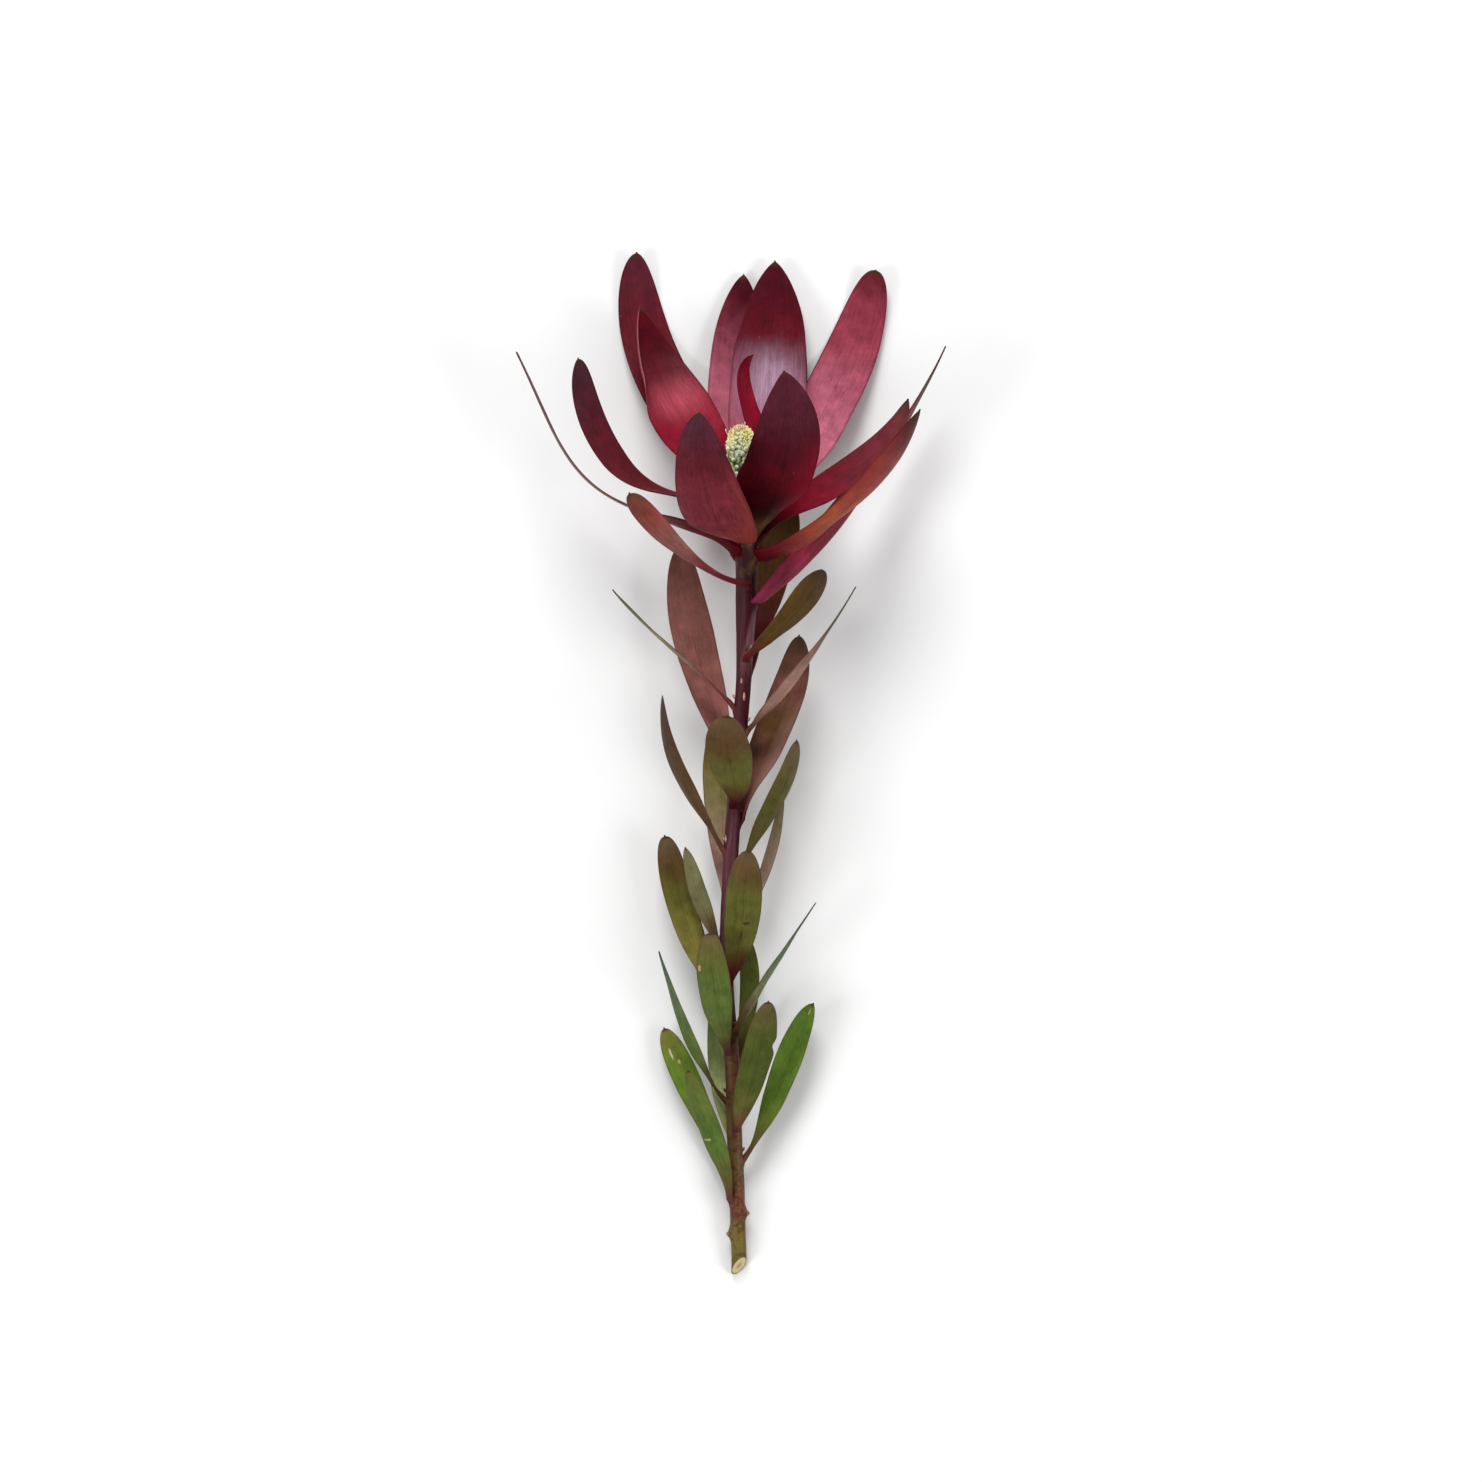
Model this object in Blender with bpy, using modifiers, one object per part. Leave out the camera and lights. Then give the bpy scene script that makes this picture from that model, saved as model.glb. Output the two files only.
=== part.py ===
"""A cut leucadendron stem that lies on a table: woody stem, leaves, a cup of long bracts and the cone in it.

The model is drawn in millimetres in a plan frame: X across the stem, Y along it from the cut end to the head,
Z up from the table. Sides of the stem are angles round it: 0 is its upper side, 90 its right, 180 the table's.
The root empty turns millimetres to metres and puts the middle of the object's base at the origin.
"""

import math

import bmesh
import bpy
import numpy as np

MM = 0.001
OBJECT_NAME = "leucadendron_stem"
BASE_MIDDLE = (-3.0, 194.0, 0.0)    # plan point that becomes the origin

# Stem: height along it, how far its middle swings across, and its radius
STEM_HEIGHTS = (0, 23, 47, 66, 89, 104, 118, 135, 161, 184, 203, 226, 242, 256, 272, 284, 290, 293)
STEM_SWING = (-0.7, -1.3, -2.3, -2.8, -3.8, -5.4, -5.8, -5.1, -3.8, -2.3, -0.6, 1.1, 1.6, 2.0, 2.3, 2.3, 2.3, 2.3)
STEM_RADIUS = (2.9, 2.9, 2.85, 2.8, 2.8, 2.8, 2.8, 2.8, 2.8, 2.8, 2.8, 2.9, 3.3, 4.0, 4.4, 4.5, 4.3, 3.2)
STEM_START_LIFT = 3.05               # height of the middle of the cut end, whose low side meets the table
STEM_RISE = 0.125                   # the head is held up by its lowest bracts
SWING_SMOOTHING = (-6, -2, 2, 6)    # the swing at a height is the mean of those so far from it
STEM_SIDES = 10
RING_STEP = 7.0
RING_BESIDE_BUMP = 1.5
NEAREST_RINGS = 0.9
BELOW_CUT = -6.0
CUT_POINT = (-3.0, -1.2, 1.5)       # a point of the slanted cut, near its lowest
CUT_FACING = (0.46, -0.66, 0.59)

# Swellings of the stem: height, side, how far they stand out, half length, half width in degrees
SCARS = ((22.5, 80, 1.2, 1.6, 24), (14.5, -80, 1.1, 1.8, 26), (9.5, 0, 0.5, 1.4, 22))
CUSHION_BELOW_FOOT = 2.3
CUSHION_SIZE = (0.7, 1.0, 26)

CONE_START = (2.3, 293.4, 40.2)
CONE_AXIS = (-0.095, 0.97, 0.22)
CONE_LENGTH = 28.0
CONE_RADIUS = 5.8
CONE_BLUNTNESS = 2.8                # 2 is an egg form, and more is blunter at both ends
CONE_SEGMENTS = (32, 26)
FLORET_RELIEF = 0.6
FLORET_SPIRALS = (5, 8)
FLORET_ROWS = 11

FOOT_GAP = 0.45                     # clear space between a foot and the stem
LEAF_THICKNESS = 0.8
BRACT_THICKNESS = 0.9
TIP_HALF_WIDTH = 0.35
LEAF_GRID = (4, 10)
BRACT_GRID = (4, 14)
TIP_CROWDING = 1.35                 # rows of the grid draw together towards the tip
FACE_LEAN = 0.6                     # how far inner faces lean towards the head
DEFAULT_TURN = (0.0, 0.4)
MIDRIB_STEPS = 401

SHARP_ANGLE = 50
BARK_ROUGHNESS = 0.6
CONE_ROUGHNESS = 0.55
BRACT_ROUGHNESS = 0.4
LEAF_ROUGHNESS = 0.5

CRIMSON = (0.20, 0.012, 0.028)
ROSE = (0.33, 0.045, 0.075)
PLUM = (0.075, 0.016, 0.026)
RUST = (0.24, 0.05, 0.035)
BRONZE = (0.105, 0.045, 0.025)
OLIVE = (0.10, 0.085, 0.022)
GREEN = (0.085, 0.13, 0.03)
GREY_GREEN = (0.12, 0.14, 0.07)
BARK = (0.075, 0.03, 0.02)
CONE_YELLOW = (0.50, 0.47, 0.20)

# Each blade: height of its foot on the stem, side of the stem that it grows from, points of its midrib after
# the foot, greatest width, share of the length where it is widest, how blunt the tip is (small is blunt), the
# sides that its outer face looks to at mid length and at the tip, rise of the edges, and width of the foot.
# A turn gives the shares of the length between which the blade twists from its foot to its mid length. Where a
# start is given, the outer face looks to that side at the foot.
BRACTS = {
    "bract_front_left": dict(
        height=279.5, side=-28, rib=((-6.2, 280.8, 61), (-13, 295.5, 80), (-15.2, 323, 96)), colour=RUST,
        width=25.6, widest=0.42, tip=0.66, faces=(-8, -8), cup=0.22, foot=7),
    "bract_front_right": dict(
        height=282.5, side=34, rib=((11.4, 291.5, 58), (16.9, 310.5, 78), (15.7, 338, 97)), colour=PLUM,
        width=26.2, widest=0.5, tip=0.78, faces=(5, 0), cup=0.22, foot=5.2),
    "bract_back_centre": dict(
        height=284, side=187, rib=((7, 309.5, 24), (11, 344.5, 11), (13, 386.5, 5)), colour=CRIMSON,
        width=29, widest=0.55, tip=0.72, faces=(180, 180), cup=0.16, foot=4.6),
    "bract_back_left": dict(
        height=276, side=222, rib=((-1, 310, 16), (-1, 345, 5), (1, 381.5, 3)), colour=ROSE,
        width=24, widest=0.55, tip=0.68, faces=(190, 185), cup=0.08, foot=4.6),
    "bract_back_right": dict(
        height=276, side=155, rib=((13.5, 310, 9), (17.8, 339.5, 2.5), (20, 372, 2.5)), colour=CRIMSON,
        width=15.5, widest=0.55, tip=0.6, faces=(175, 180), cup=0.1, foot=4.6),
    "bract_tall_left": dict(
        height=284, side=250, rib=((-14.8, 313, 25), (-32.4, 346, 4), (-40, 389.5, 6)), colour=CRIMSON,
        width=21.2, widest=0.57, tip=0.53, faces=(185, 180), cup=0.14, foot=4.6),
    "bract_tall_right": dict(
        height=283, side=118, rib=((22.3, 311.5, 20), (40.3, 347, 2.2), (51.5, 383, 6)), colour=ROSE,
        width=22, widest=0.52, tip=0.42, faces=(175, 180), cup=0.14, foot=4.6),
    "bract_folded": dict(
        height=287.5, side=240, rib=((-14.5, 312.5, 35), (-29.5, 337.5, 24), (-38.5, 367.5, 22)), colour=CRIMSON,
        width=26, widest=0.5, tip=0.78, faces=(192, 216), cup=0.25, foot=4.4),
    "bract_hooked": dict(
        height=287.5, side=165, rib=((7.4, 314, 33), (1.2, 335.5, 34.8), (4.4, 348, 39.8)), colour=CRIMSON,
        width=8.2, widest=0.5, tip=0.5, faces=(200, 200), cup=0.3, foot=3),
    "bract_low_left": dict(
        height=279.5, side=272, rib=((-19, 293.8, 44), (-37.6, 299.2, 48), (-53.4, 316.1, 51), (-61, 345.5, 56)),
        width=14.6, widest=0.72, tip=0.5, faces=(222, 222), cup=0.12, foot=6, turn=(0.3, 0.6), colour=PLUM),
    "bract_edge_left": dict(
        height=275, side=300, rib=((-22, 284.5, 38), (-47, 293.5, 39), (-64, 308, 41), (-84, 348.5, 45)),
        width=20, widest=0.6, tip=0.6, faces=(274, 274), cup=0.03, foot=5.6, colour=RUST),
    "bract_low_right": dict(
        height=280, side=92, rib=((29.7, 296, 42), (52, 312.3, 46), (62.5, 330.5, 50)), colour=ROSE,
        width=18, widest=0.5, tip=0.65, faces=(125, 130), cup=0.14, foot=4.4),
    "bract_orange": dict(
        height=273, side=62, rib=((25.3, 279.5, 52), (49.3, 299.4, 58), (66.5, 326, 60)), colour=RUST,
        width=19.5, widest=0.62, tip=0.8, faces=(60, 58), cup=0.14, foot=7.2, starts=0),
    "bract_long_right": dict(
        height=256, side=78, rib=((21.1, 270.2, 38), (47.6, 301.9, 27.5), (77, 351.5, 34)), colour=CRIMSON,
        width=19.6, widest=0.46, tip=0.7, faces=(48, 86), cup=0.06, foot=8.5, turn=(-0.3, 0.1)),
}

LEAVES = {
    "leaf_01": dict(
        height=263, side=10, rib=((-12.5, 266.8, 53), (-30.5, 281, 58), (-41.5, 295, 60)), colour=RUST,
        width=12.5, widest=0.8, tip=0.5, faces=(-35, -30), cup=0.15, foot=3),
    "leaf_02": dict(
        height=189.5, side=-150, rib=((-10, 213.2, 19), (-18, 241.5, 15), (-23, 277.5, 15)), colour=BRONZE,
        width=16, widest=0.62, tip=0.55, faces=(-175, -180), cup=0.12, foot=4),
    "leaf_03": dict(
        height=179.5, side=-5, rib=((-2.5, 187, 46), (-5, 199.5, 66), (-5, 212, 80)), colour=OLIVE,
        width=17, widest=0.62, tip=0.5, faces=(0, 0), cup=0.2, foot=4),
    "leaf_04": dict(
        height=216.5, side=-90, rib=((-12, 225, 33), (-31.5, 242.2, 36), (-48, 259.5, 40)), colour=OLIVE,
        width=13, widest=0.6, tip=0.6, faces=(-82, -86), cup=0.08, foot=3.4),
    "leaf_05": dict(
        height=235, side=8, rib=((12, 242.6, 46), (23, 254, 51), (30, 267, 54)), colour=BRONZE,
        width=16.5, widest=0.7, tip=0.52, faces=(45, 40), cup=0.12, foot=3.2),
    "leaf_06": dict(
        height=229, side=150, rib=((7.8, 246, 22), (12.3, 271, 14), (16, 299, 9)), colour=BRONZE,
        width=17.5, widest=0.72, tip=0.6, faces=(175, 180), cup=0.12, foot=3.8),
    "leaf_07": dict(
        height=173, side=110, rib=((6.6, 191.4, 24), (16.6, 215.8, 22), (22, 242.7, 22)), colour=BRONZE,
        width=16, widest=0.55, tip=0.52, faces=(150, 160), cup=0.2, foot=4),
    "leaf_08": dict(
        height=208, side=72, rib=((13.6, 218.6, 42), (27.8, 236.8, 48), (42.5, 260.3, 52)), colour=BRONZE,
        width=10.5, widest=0.38, tip=0.85, faces=(52, 85.5), cup=0.08, foot=3.4, turn=(0, 0.2)),
    "leaf_09": dict(
        height=162.5, side=-75, rib=((-15.5, 176, 30), (-25.5, 196, 36), (-29.5, 219.5, 38)), colour=BRONZE,
        width=12.2, widest=0.54, tip=0.6, faces=(-55, -66), cup=0.1, foot=3.2),
    "leaf_10": dict(
        height=143.5, side=-165, rib=((-6.6, 161.5, 16), (-7.9, 186, 13), (-9.8, 210, 13)), colour=OLIVE,
        width=13.4, widest=0.58, tip=0.55, faces=(-175, -180), cup=0.12, foot=3.8),
    "leaf_11": dict(
        height=153, side=80, rib=((8.7, 171, 28), (17.3, 188, 32), (21.1, 203, 34)), colour=OLIVE,
        width=13.2, widest=0.62, tip=0.5, faces=(50, 50), cup=0.14, foot=3.2),
    "leaf_12": dict(
        height=129, side=120, rib=((6.9, 146, 14), (12.7, 162, 12), (16.2, 183.5, 12)), colour=OLIVE,
        width=12, widest=0.58, tip=0.6, faces=(106, 106), cup=0.1, foot=3.4),
    "leaf_13": dict(
        height=112, side=15, rib=((-1, 124, 30), (1, 143.5, 45), (2.5, 162, 56)), colour=OLIVE,
        width=14, widest=0.6, tip=0.5, faces=(0, 0), cup=0.15, foot=3.8),
    "leaf_14": dict(
        height=103.5, side=-120, rib=((-15.8, 119.5, 14), (-23.5, 142.5, 12), (-29, 166.5, 13)), colour=OLIVE,
        width=12, widest=0.62, tip=0.42, faces=(-160, -170), cup=0.14, foot=3.4),
    "leaf_15": dict(
        height=85.5, side=-20, rib=((-7.5, 94, 24), (-10.5, 113, 36), (-11.5, 131, 45)), colour=GREEN,
        width=12.5, widest=0.6, tip=0.5, faces=(0, 0), cup=0.15, foot=3.6),
    "leaf_16": dict(
        height=124.5, side=-130, rib=((-12, 133, 17), (-17, 146, 16), (-21, 162, 17)), colour=GREY_GREEN,
        width=8.2, widest=0.55, tip=0.6, faces=(-150, -150), cup=0.14, foot=2.8),
    "leaf_17": dict(
        height=79, side=150, rib=((2.0, 95.5, 8), (3.3, 112.5, 7), (0.3, 131, 8)), colour=GREEN,
        width=7.5, widest=0.6, tip=0.55, faces=(175, 180), cup=0.1, foot=3),
    "leaf_18": dict(
        height=92.5, side=34, rib=((4.2, 103.6, 18), (15.8, 122.3, 22), (28, 141.3, 26)), colour=GREY_GREEN,
        width=11, widest=0.55, tip=0.6, faces=(70, 84), cup=0.06, foot=3),
    "leaf_19": dict(
        height=56, side=16, rib=((2.3, 68.5, 20), (6.9, 86, 28), (10.3, 104.5, 36)), colour=GREEN,
        width=12.8, widest=0.56, tip=0.48, faces=(20, 15), cup=0.14, foot=3.4),
    "leaf_20": dict(
        height=43.5, side=105, rib=((9.5, 58, 9), (18.5, 80.5, 9), (27.5, 102.5, 12)), colour=GREEN,
        width=13.4, widest=0.62, tip=0.55, faces=(140, 145), cup=0.12, foot=3.2),
    "leaf_21": dict(
        height=31, side=-130, rib=((-11.5, 52.5, 5), (-22.9, 77.5, 4.5), (-29.4, 92.8, 5)), colour=GREEN,
        width=11.1, widest=0.7, tip=0.5, faces=(-165, -170), cup=0.08, foot=3.2),
    "leaf_22": dict(
        height=28, side=-48, rib=((-7.5, 41.5, 14), (-14.5, 61, 20), (-20, 78, 25)), colour=GREEN,
        width=10.5, widest=0.6, tip=0.5, faces=(-25, -30), cup=0.14, foot=3.2),
    "leaf_23": dict(
        height=66.5, side=-85, rib=((-14.4, 77.8, 13), (-23.4, 98, 15), (-30.9, 122.5, 18)), colour=GREY_GREEN,
        width=8.8, widest=0.42, tip=0.6, faces=(-50, -70), cup=0.08, foot=3),
    "leaf_24": dict(
        height=46.5, side=165, rib=((-6, 62.5, 6.3), (-8.3, 85, 6), (-9.6, 107.5, 7)), colour=GREEN,
        width=9.1, widest=0.6, tip=0.55, faces=(180, 180), cup=0.08, foot=2.8),
}


def unit(vectors):
    return vectors / np.linalg.norm(vectors, axis=-1, keepdims=True)


def ease(x):
    x = np.clip(x, 0, 1)
    return x * x * (3 - 2 * x)


STEM_AXIS = unit(np.array((0.0, 1.0, STEM_RISE)))
STEM_UPPER = np.array((0.0, -STEM_AXIS[2], STEM_AXIS[1]))
STEM_RIGHT = np.array((1.0, 0.0, 0.0))


def stem_middle(height):
    height = np.asarray(height, float)
    swing = np.mean([np.interp(height + step, STEM_HEIGHTS, STEM_SWING) for step in SWING_SMOOTHING], axis=0)
    return np.stack([swing, height, STEM_START_LIFT + STEM_RISE * height], -1)


def stem_radius(height):
    return np.interp(height, STEM_HEIGHTS, STEM_RADIUS)


def outward(side):
    """Direction away from the stem on one side of it, in degrees round it."""
    side = np.radians(np.asarray(side, float))[..., None]
    return np.cos(side) * STEM_UPPER + np.sin(side) * STEM_RIGHT


def swelling(height, side):
    """How far the leaf cushions and scars stand out of the stem there."""
    bumps = [(blade["height"] - CUSHION_BELOW_FOOT, blade["side"], *CUSHION_SIZE)
             for blade in (*LEAVES.values(), *BRACTS.values())]
    highest = np.zeros_like(height)
    for centre, bump_side, stands, half_length, half_angle in (*bumps, *SCARS):
        turn = (side - bump_side + 180) % 360 - 180
        falloff = ((height - centre) / half_length) ** 2 + (turn / half_angle) ** 2
        highest = np.maximum(highest, stands * np.exp(-falloff / 2))
    return highest


def clear_of_stem(points, thickness):
    """The points, with those that come too near the stem moved straight out from it."""
    middle = stem_middle(points[:, 1])
    away = points - middle
    side = np.degrees(np.arctan2(away @ STEM_RIGHT, away @ STEM_UPPER))
    need = stem_radius(points[:, 1]) + swelling(points[:, 1], side) + FOOT_GAP + thickness / 2
    return middle + away * np.maximum(1, need / np.linalg.norm(away, axis=1))[:, None]


def midrib(points):
    """The smooth curve through the points: its coefficients, and where each share of its length lies."""
    points = np.asarray(points, float)
    reach = np.sqrt(np.linalg.norm(np.diff(points, axis=0), axis=1))
    knots = np.concatenate([[0], np.cumsum(reach)]) / reach.sum()
    curve = np.polyfit(knots, points, len(points) - 1)
    steps = np.linspace(0, 1, MIDRIB_STEPS)
    walked = np.cumsum(np.linalg.norm(np.diff(along_curve(curve, steps), axis=0), axis=1))
    return curve, steps, np.concatenate([[0], walked]) / walked[-1]


def along_curve(curve, steps):
    return np.stack([np.polyval(curve[:, axis], steps) for axis in range(3)], -1)


def slope_of(curve, steps):
    return np.stack([np.polyval(np.polyder(curve[:, axis]), steps) for axis in range(3)], -1)


def half_width(blade, along):
    """Half the width of the blade at each share of its length, foot and tip included."""
    tip = blade["tip"]
    base = tip * blade["widest"] / (1 - blade["widest"])
    peak = blade["widest"] ** base * (1 - blade["widest"]) ** tip
    body = blade["width"] / 2 * along ** base * (1 - along) ** tip / peak
    foot = blade["foot"] / 2 * (1 - along)
    return (body ** 4 + foot ** 4 + TIP_HALF_WIDTH ** 4) ** 0.25


def blade_surface(blade, thickness, across, along):
    """Points of the blade's middle surface, for shares across (-1 to 1) and along (0 at the foot to 1)."""
    start = stem_middle(blade["height"])
    start = start + (stem_radius(blade["height"]) + FOOT_GAP + thickness / 2) * outward(blade["side"])
    curve, steps, walked = midrib([start, *blade["rib"]])
    at = np.interp(along, walked, steps)
    middle = along_curve(curve, at)
    forward = unit(slope_of(curve, at))
    turn_start, turn_end = blade.get("turn", DEFAULT_TURN)
    mid_side, tip_side = blade["faces"]
    start_side = blade.get("starts", blade["side"])
    outer = start_side + (mid_side - start_side) * ease((along - turn_start) / (turn_end - turn_start))
    outer = outer + (tip_side - mid_side) * ease((along - turn_end) / (1 - turn_end))
    inner_face = FACE_LEAN * STEM_AXIS - outward(outer)
    sideways = unit(np.cross(forward, inner_face))
    inward = np.cross(sideways, forward)
    half = half_width(blade, along)
    rise = blade["cup"] * half * across ** 2
    points = middle + sideways * (half * across)[:, None] + inward * rise[:, None]
    points = clear_of_stem(points, thickness)
    points[:, 2] = np.maximum(points[:, 2], thickness / 2)
    return points


def paint(name, colour, roughness):
    material = bpy.data.materials.new(name)
    material.use_nodes = True
    shader = material.node_tree.nodes["Principled BSDF"]
    shader.inputs["Base Color"].default_value = (*colour, 1.0)
    shader.inputs["Roughness"].default_value = roughness
    shader.inputs["Metallic"].default_value = 0.0
    return material


def add_part(name, bm, colour, roughness):
    """One named object from a mesh in plan millimetres, placed under the root."""
    mesh = bpy.data.meshes.new(name)
    bmesh.ops.recalc_face_normals(bm, faces=bm.faces)
    bmesh.ops.scale(bm, vec=(MM, MM, MM), verts=bm.verts)
    bm.to_mesh(mesh)
    bm.free()
    mesh.shade_smooth()
    mesh.set_sharp_from_angle(angle=math.radians(SHARP_ANGLE))
    mesh.materials.append(paint(name, colour, roughness))
    part = bpy.data.objects.new(name, mesh)
    part.parent = root
    parts.objects.link(part)
    return part


def make_blade(name, blade, thickness, grid, roughness):
    columns, rows = grid
    bm = bmesh.new()
    bmesh.ops.create_grid(bm, x_segments=columns, y_segments=rows, size=1)
    bmesh.ops.triangulate(bm, faces=bm.faces)
    across = np.array([vertex.co.x for vertex in bm.verts])
    along = np.array([(vertex.co.y + 1) / 2 for vertex in bm.verts])
    along = 1 - np.clip(1 - along, 0, 1) ** TIP_CROWDING
    for vertex, point in zip(bm.verts, blade_surface(blade, thickness, across, along)):
        vertex.co = point
    part = add_part(name, bm, blade["colour"], roughness)
    solid = part.modifiers.new("thickness", "SOLIDIFY")
    solid.thickness = thickness * MM
    solid.offset = 0.0
    return part


def stem_rings():
    """Heights of the stem's rings: even steps, and closer ones over each cushion and scar."""
    top = float(STEM_HEIGHTS[-1])
    wanted = set(np.arange(BELOW_CUT, top, RING_STEP))
    for blade in (*LEAVES.values(), *BRACTS.values()):
        middle = blade["height"] - CUSHION_BELOW_FOOT
        wanted |= {middle - RING_BESIDE_BUMP, middle, middle + RING_BESIDE_BUMP}
    for middle, _, _, half_length, _ in SCARS:
        wanted |= {middle - RING_BESIDE_BUMP * half_length, middle, middle + RING_BESIDE_BUMP * half_length}
    rings = []
    for height in sorted(wanted):
        if not rings or height - rings[-1] > NEAREST_RINGS:
            rings.append(height)
    return [ring for ring in rings if top - ring > NEAREST_RINGS] + [top]


def make_stem():
    heights = stem_rings()
    bm = bmesh.new()
    bmesh.ops.create_grid(bm, x_segments=STEM_SIDES, y_segments=len(heights) - 1, size=1)
    sides = np.array([(vertex.co.x + 1) * 180 for vertex in bm.verts])
    rings = [round((vertex.co.y + 1) / 2 * (len(heights) - 1)) for vertex in bm.verts]
    levels = np.array(heights)[rings]
    radius = stem_radius(levels) + swelling(levels, sides)
    for vertex, point in zip(bm.verts, stem_middle(levels) + radius[:, None] * outward(sides)):
        vertex.co = point
    bmesh.ops.remove_doubles(bm, verts=bm.verts, dist=0.001)
    bmesh.ops.holes_fill(bm, edges=bm.edges, sides=0)
    cut = bmesh.ops.bisect_plane(bm, geom=bm.verts[:] + bm.edges[:] + bm.faces[:], dist=0.0001,
                                 plane_co=CUT_POINT, plane_no=CUT_FACING, clear_outer=True)
    rim = [piece for piece in cut["geom_cut"] if isinstance(piece, bmesh.types.BMEdge)]
    bmesh.ops.holes_fill(bm, edges=rim, sides=0)
    bmesh.ops.triangulate(bm, faces=[face for face in bm.faces if len(face.verts) > 4])
    return add_part("stem", bm, BARK, BARK_ROUGHNESS)


def make_cone():
    """The cone: a blunt egg form whose florets stand out where two sets of spirals cross."""
    forward = unit(np.array(CONE_AXIS))
    sideways = unit(np.cross(forward, (0.0, 0.0, 1.0)))
    upward = np.cross(sideways, forward)
    left_spirals, right_spirals = FLORET_SPIRALS
    around, rings = CONE_SEGMENTS
    bm = bmesh.new()
    bmesh.ops.create_uvsphere(bm, u_segments=around, v_segments=rings, radius=1)
    for vertex in bm.verts:
        turn = math.atan2(vertex.co.y, vertex.co.x)
        along = (1 + vertex.co.z) / 2
        girth = max(0.0, 1 - abs(vertex.co.z) ** CONE_BLUNTNESS) ** (1 / CONE_BLUNTNESS)
        row = math.pi * FLORET_ROWS * along
        relief = math.cos(left_spirals * turn + row) + math.cos(right_spirals * turn - row)
        radius = girth * (CONE_RADIUS + FLORET_RELIEF * relief / 2)
        vertex.co = (np.array(CONE_START) + forward * CONE_LENGTH * along
                     + radius * (math.cos(turn) * sideways + math.sin(turn) * upward))
    bmesh.ops.triangulate(bm, faces=bm.faces)
    return add_part("cone", bm, CONE_YELLOW, CONE_ROUGHNESS)


for old in list(bpy.data.objects):
    bpy.data.objects.remove(old)
parts = bpy.data.collections.new(OBJECT_NAME)
bpy.context.scene.collection.children.link(parts)
root = bpy.data.objects.new(OBJECT_NAME + "_root", None)
root.location = [-MM * value for value in BASE_MIDDLE]
parts.objects.link(root)

make_stem()
make_cone()
for blade_name, shape in BRACTS.items():
    make_blade(blade_name, shape, BRACT_THICKNESS, BRACT_GRID, BRACT_ROUGHNESS)
for blade_name, shape in LEAVES.items():
    make_blade(blade_name, shape, LEAF_THICKNESS, LEAF_GRID, LEAF_ROUGHNESS)
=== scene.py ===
"""The leucadendron stem, dressed: leathery leaves and bracts, bark, the cone's florets, soft light and a camera.

Shapes are worked out in millimetres in the plan frame of the model: X across the stem, Y along it from the cut end
to the head, Z up from the table. Sides of the stem are degrees round it: 0 is its upper side, 90 its right.
"""

import math

import bmesh
import bpy
import numpy as np
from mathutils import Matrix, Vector, noise


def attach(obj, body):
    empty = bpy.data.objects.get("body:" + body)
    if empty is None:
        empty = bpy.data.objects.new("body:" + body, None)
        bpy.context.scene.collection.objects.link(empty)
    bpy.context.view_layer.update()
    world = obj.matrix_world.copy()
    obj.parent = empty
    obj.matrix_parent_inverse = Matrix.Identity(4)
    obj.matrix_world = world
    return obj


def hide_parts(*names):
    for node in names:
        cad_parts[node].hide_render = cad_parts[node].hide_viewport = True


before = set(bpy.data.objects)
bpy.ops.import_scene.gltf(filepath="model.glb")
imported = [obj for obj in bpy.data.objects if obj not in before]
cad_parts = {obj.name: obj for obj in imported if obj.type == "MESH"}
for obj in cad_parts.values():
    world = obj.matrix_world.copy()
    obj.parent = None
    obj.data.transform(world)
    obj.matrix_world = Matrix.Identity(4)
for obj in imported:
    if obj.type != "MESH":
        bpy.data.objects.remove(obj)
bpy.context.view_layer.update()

MM = 0.001
BASE_MIDDLE = (-3.0, 194.0, 0.0)
# The stem as the model has it: sideways swing and radius at each height
STEM_HEIGHTS = (0, 23, 47, 66, 89, 104, 118, 135, 161, 184, 203, 226, 242, 256, 272, 284, 290, 293)
STEM_SWING = (-0.7, -1.3, -2.3, -2.8, -3.8, -5.4, -5.8, -5.1, -3.8, -2.3, -0.6, 1.1, 1.6, 2.0, 2.3, 2.3, 2.3, 2.3)
STEM_RADIUS = (2.9, 2.9, 2.85, 2.8, 2.8, 2.8, 2.8, 2.8, 2.8, 2.8, 2.8, 2.9, 3.3, 4.0, 4.4, 4.5, 4.3, 3.2)
STEM_START_LIFT = 3.05
STEM_RISE = 0.125
SWING_SMOOTHING = (-6, -2, 2, 6)
BELOW_CUT = -6.0
CUT_POINT = (-3.0, -1.2, 1.5)
CUT_FACING = (0.46, -0.66, 0.59)
# Scars and cushions: height, side, how far they stand out, half length and half angle
SCARS = ((22.5, 80, 1.2, 1.6, 24), (14.5, -80, 1.1, 1.8, 26), (9.5, 0, 0.5, 1.4, 22))
CUSHION_BELOW_FOOT = 2.3
CUSHION_SIZE = (0.7, 1.0, 26)
RIDGE_BELOW_FOOT = 8
RIDGE_SIZE = (6.0, 16)
RIDGE_STANDS = 0.22
STEM_RIPPLE = 0.16
STEM_STEP = 0.8
STEM_SIDES = 56
STEM_DOME = ((0.85, 0.35), (0.5, 0.6))          # size and rise of the rings that close the stem's top
CONE_START = (2.3, 293.4, 40.2)
CONE_AXIS = (-0.095, 0.97, 0.22)
CONE_LENGTH = 28.0
CONE_RADIUS = 5.8
CONE_BLUNTNESS = 2.8
CORE_INSIDE = 0.6
GOLDEN_TURN = math.radians(137.508)
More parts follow.
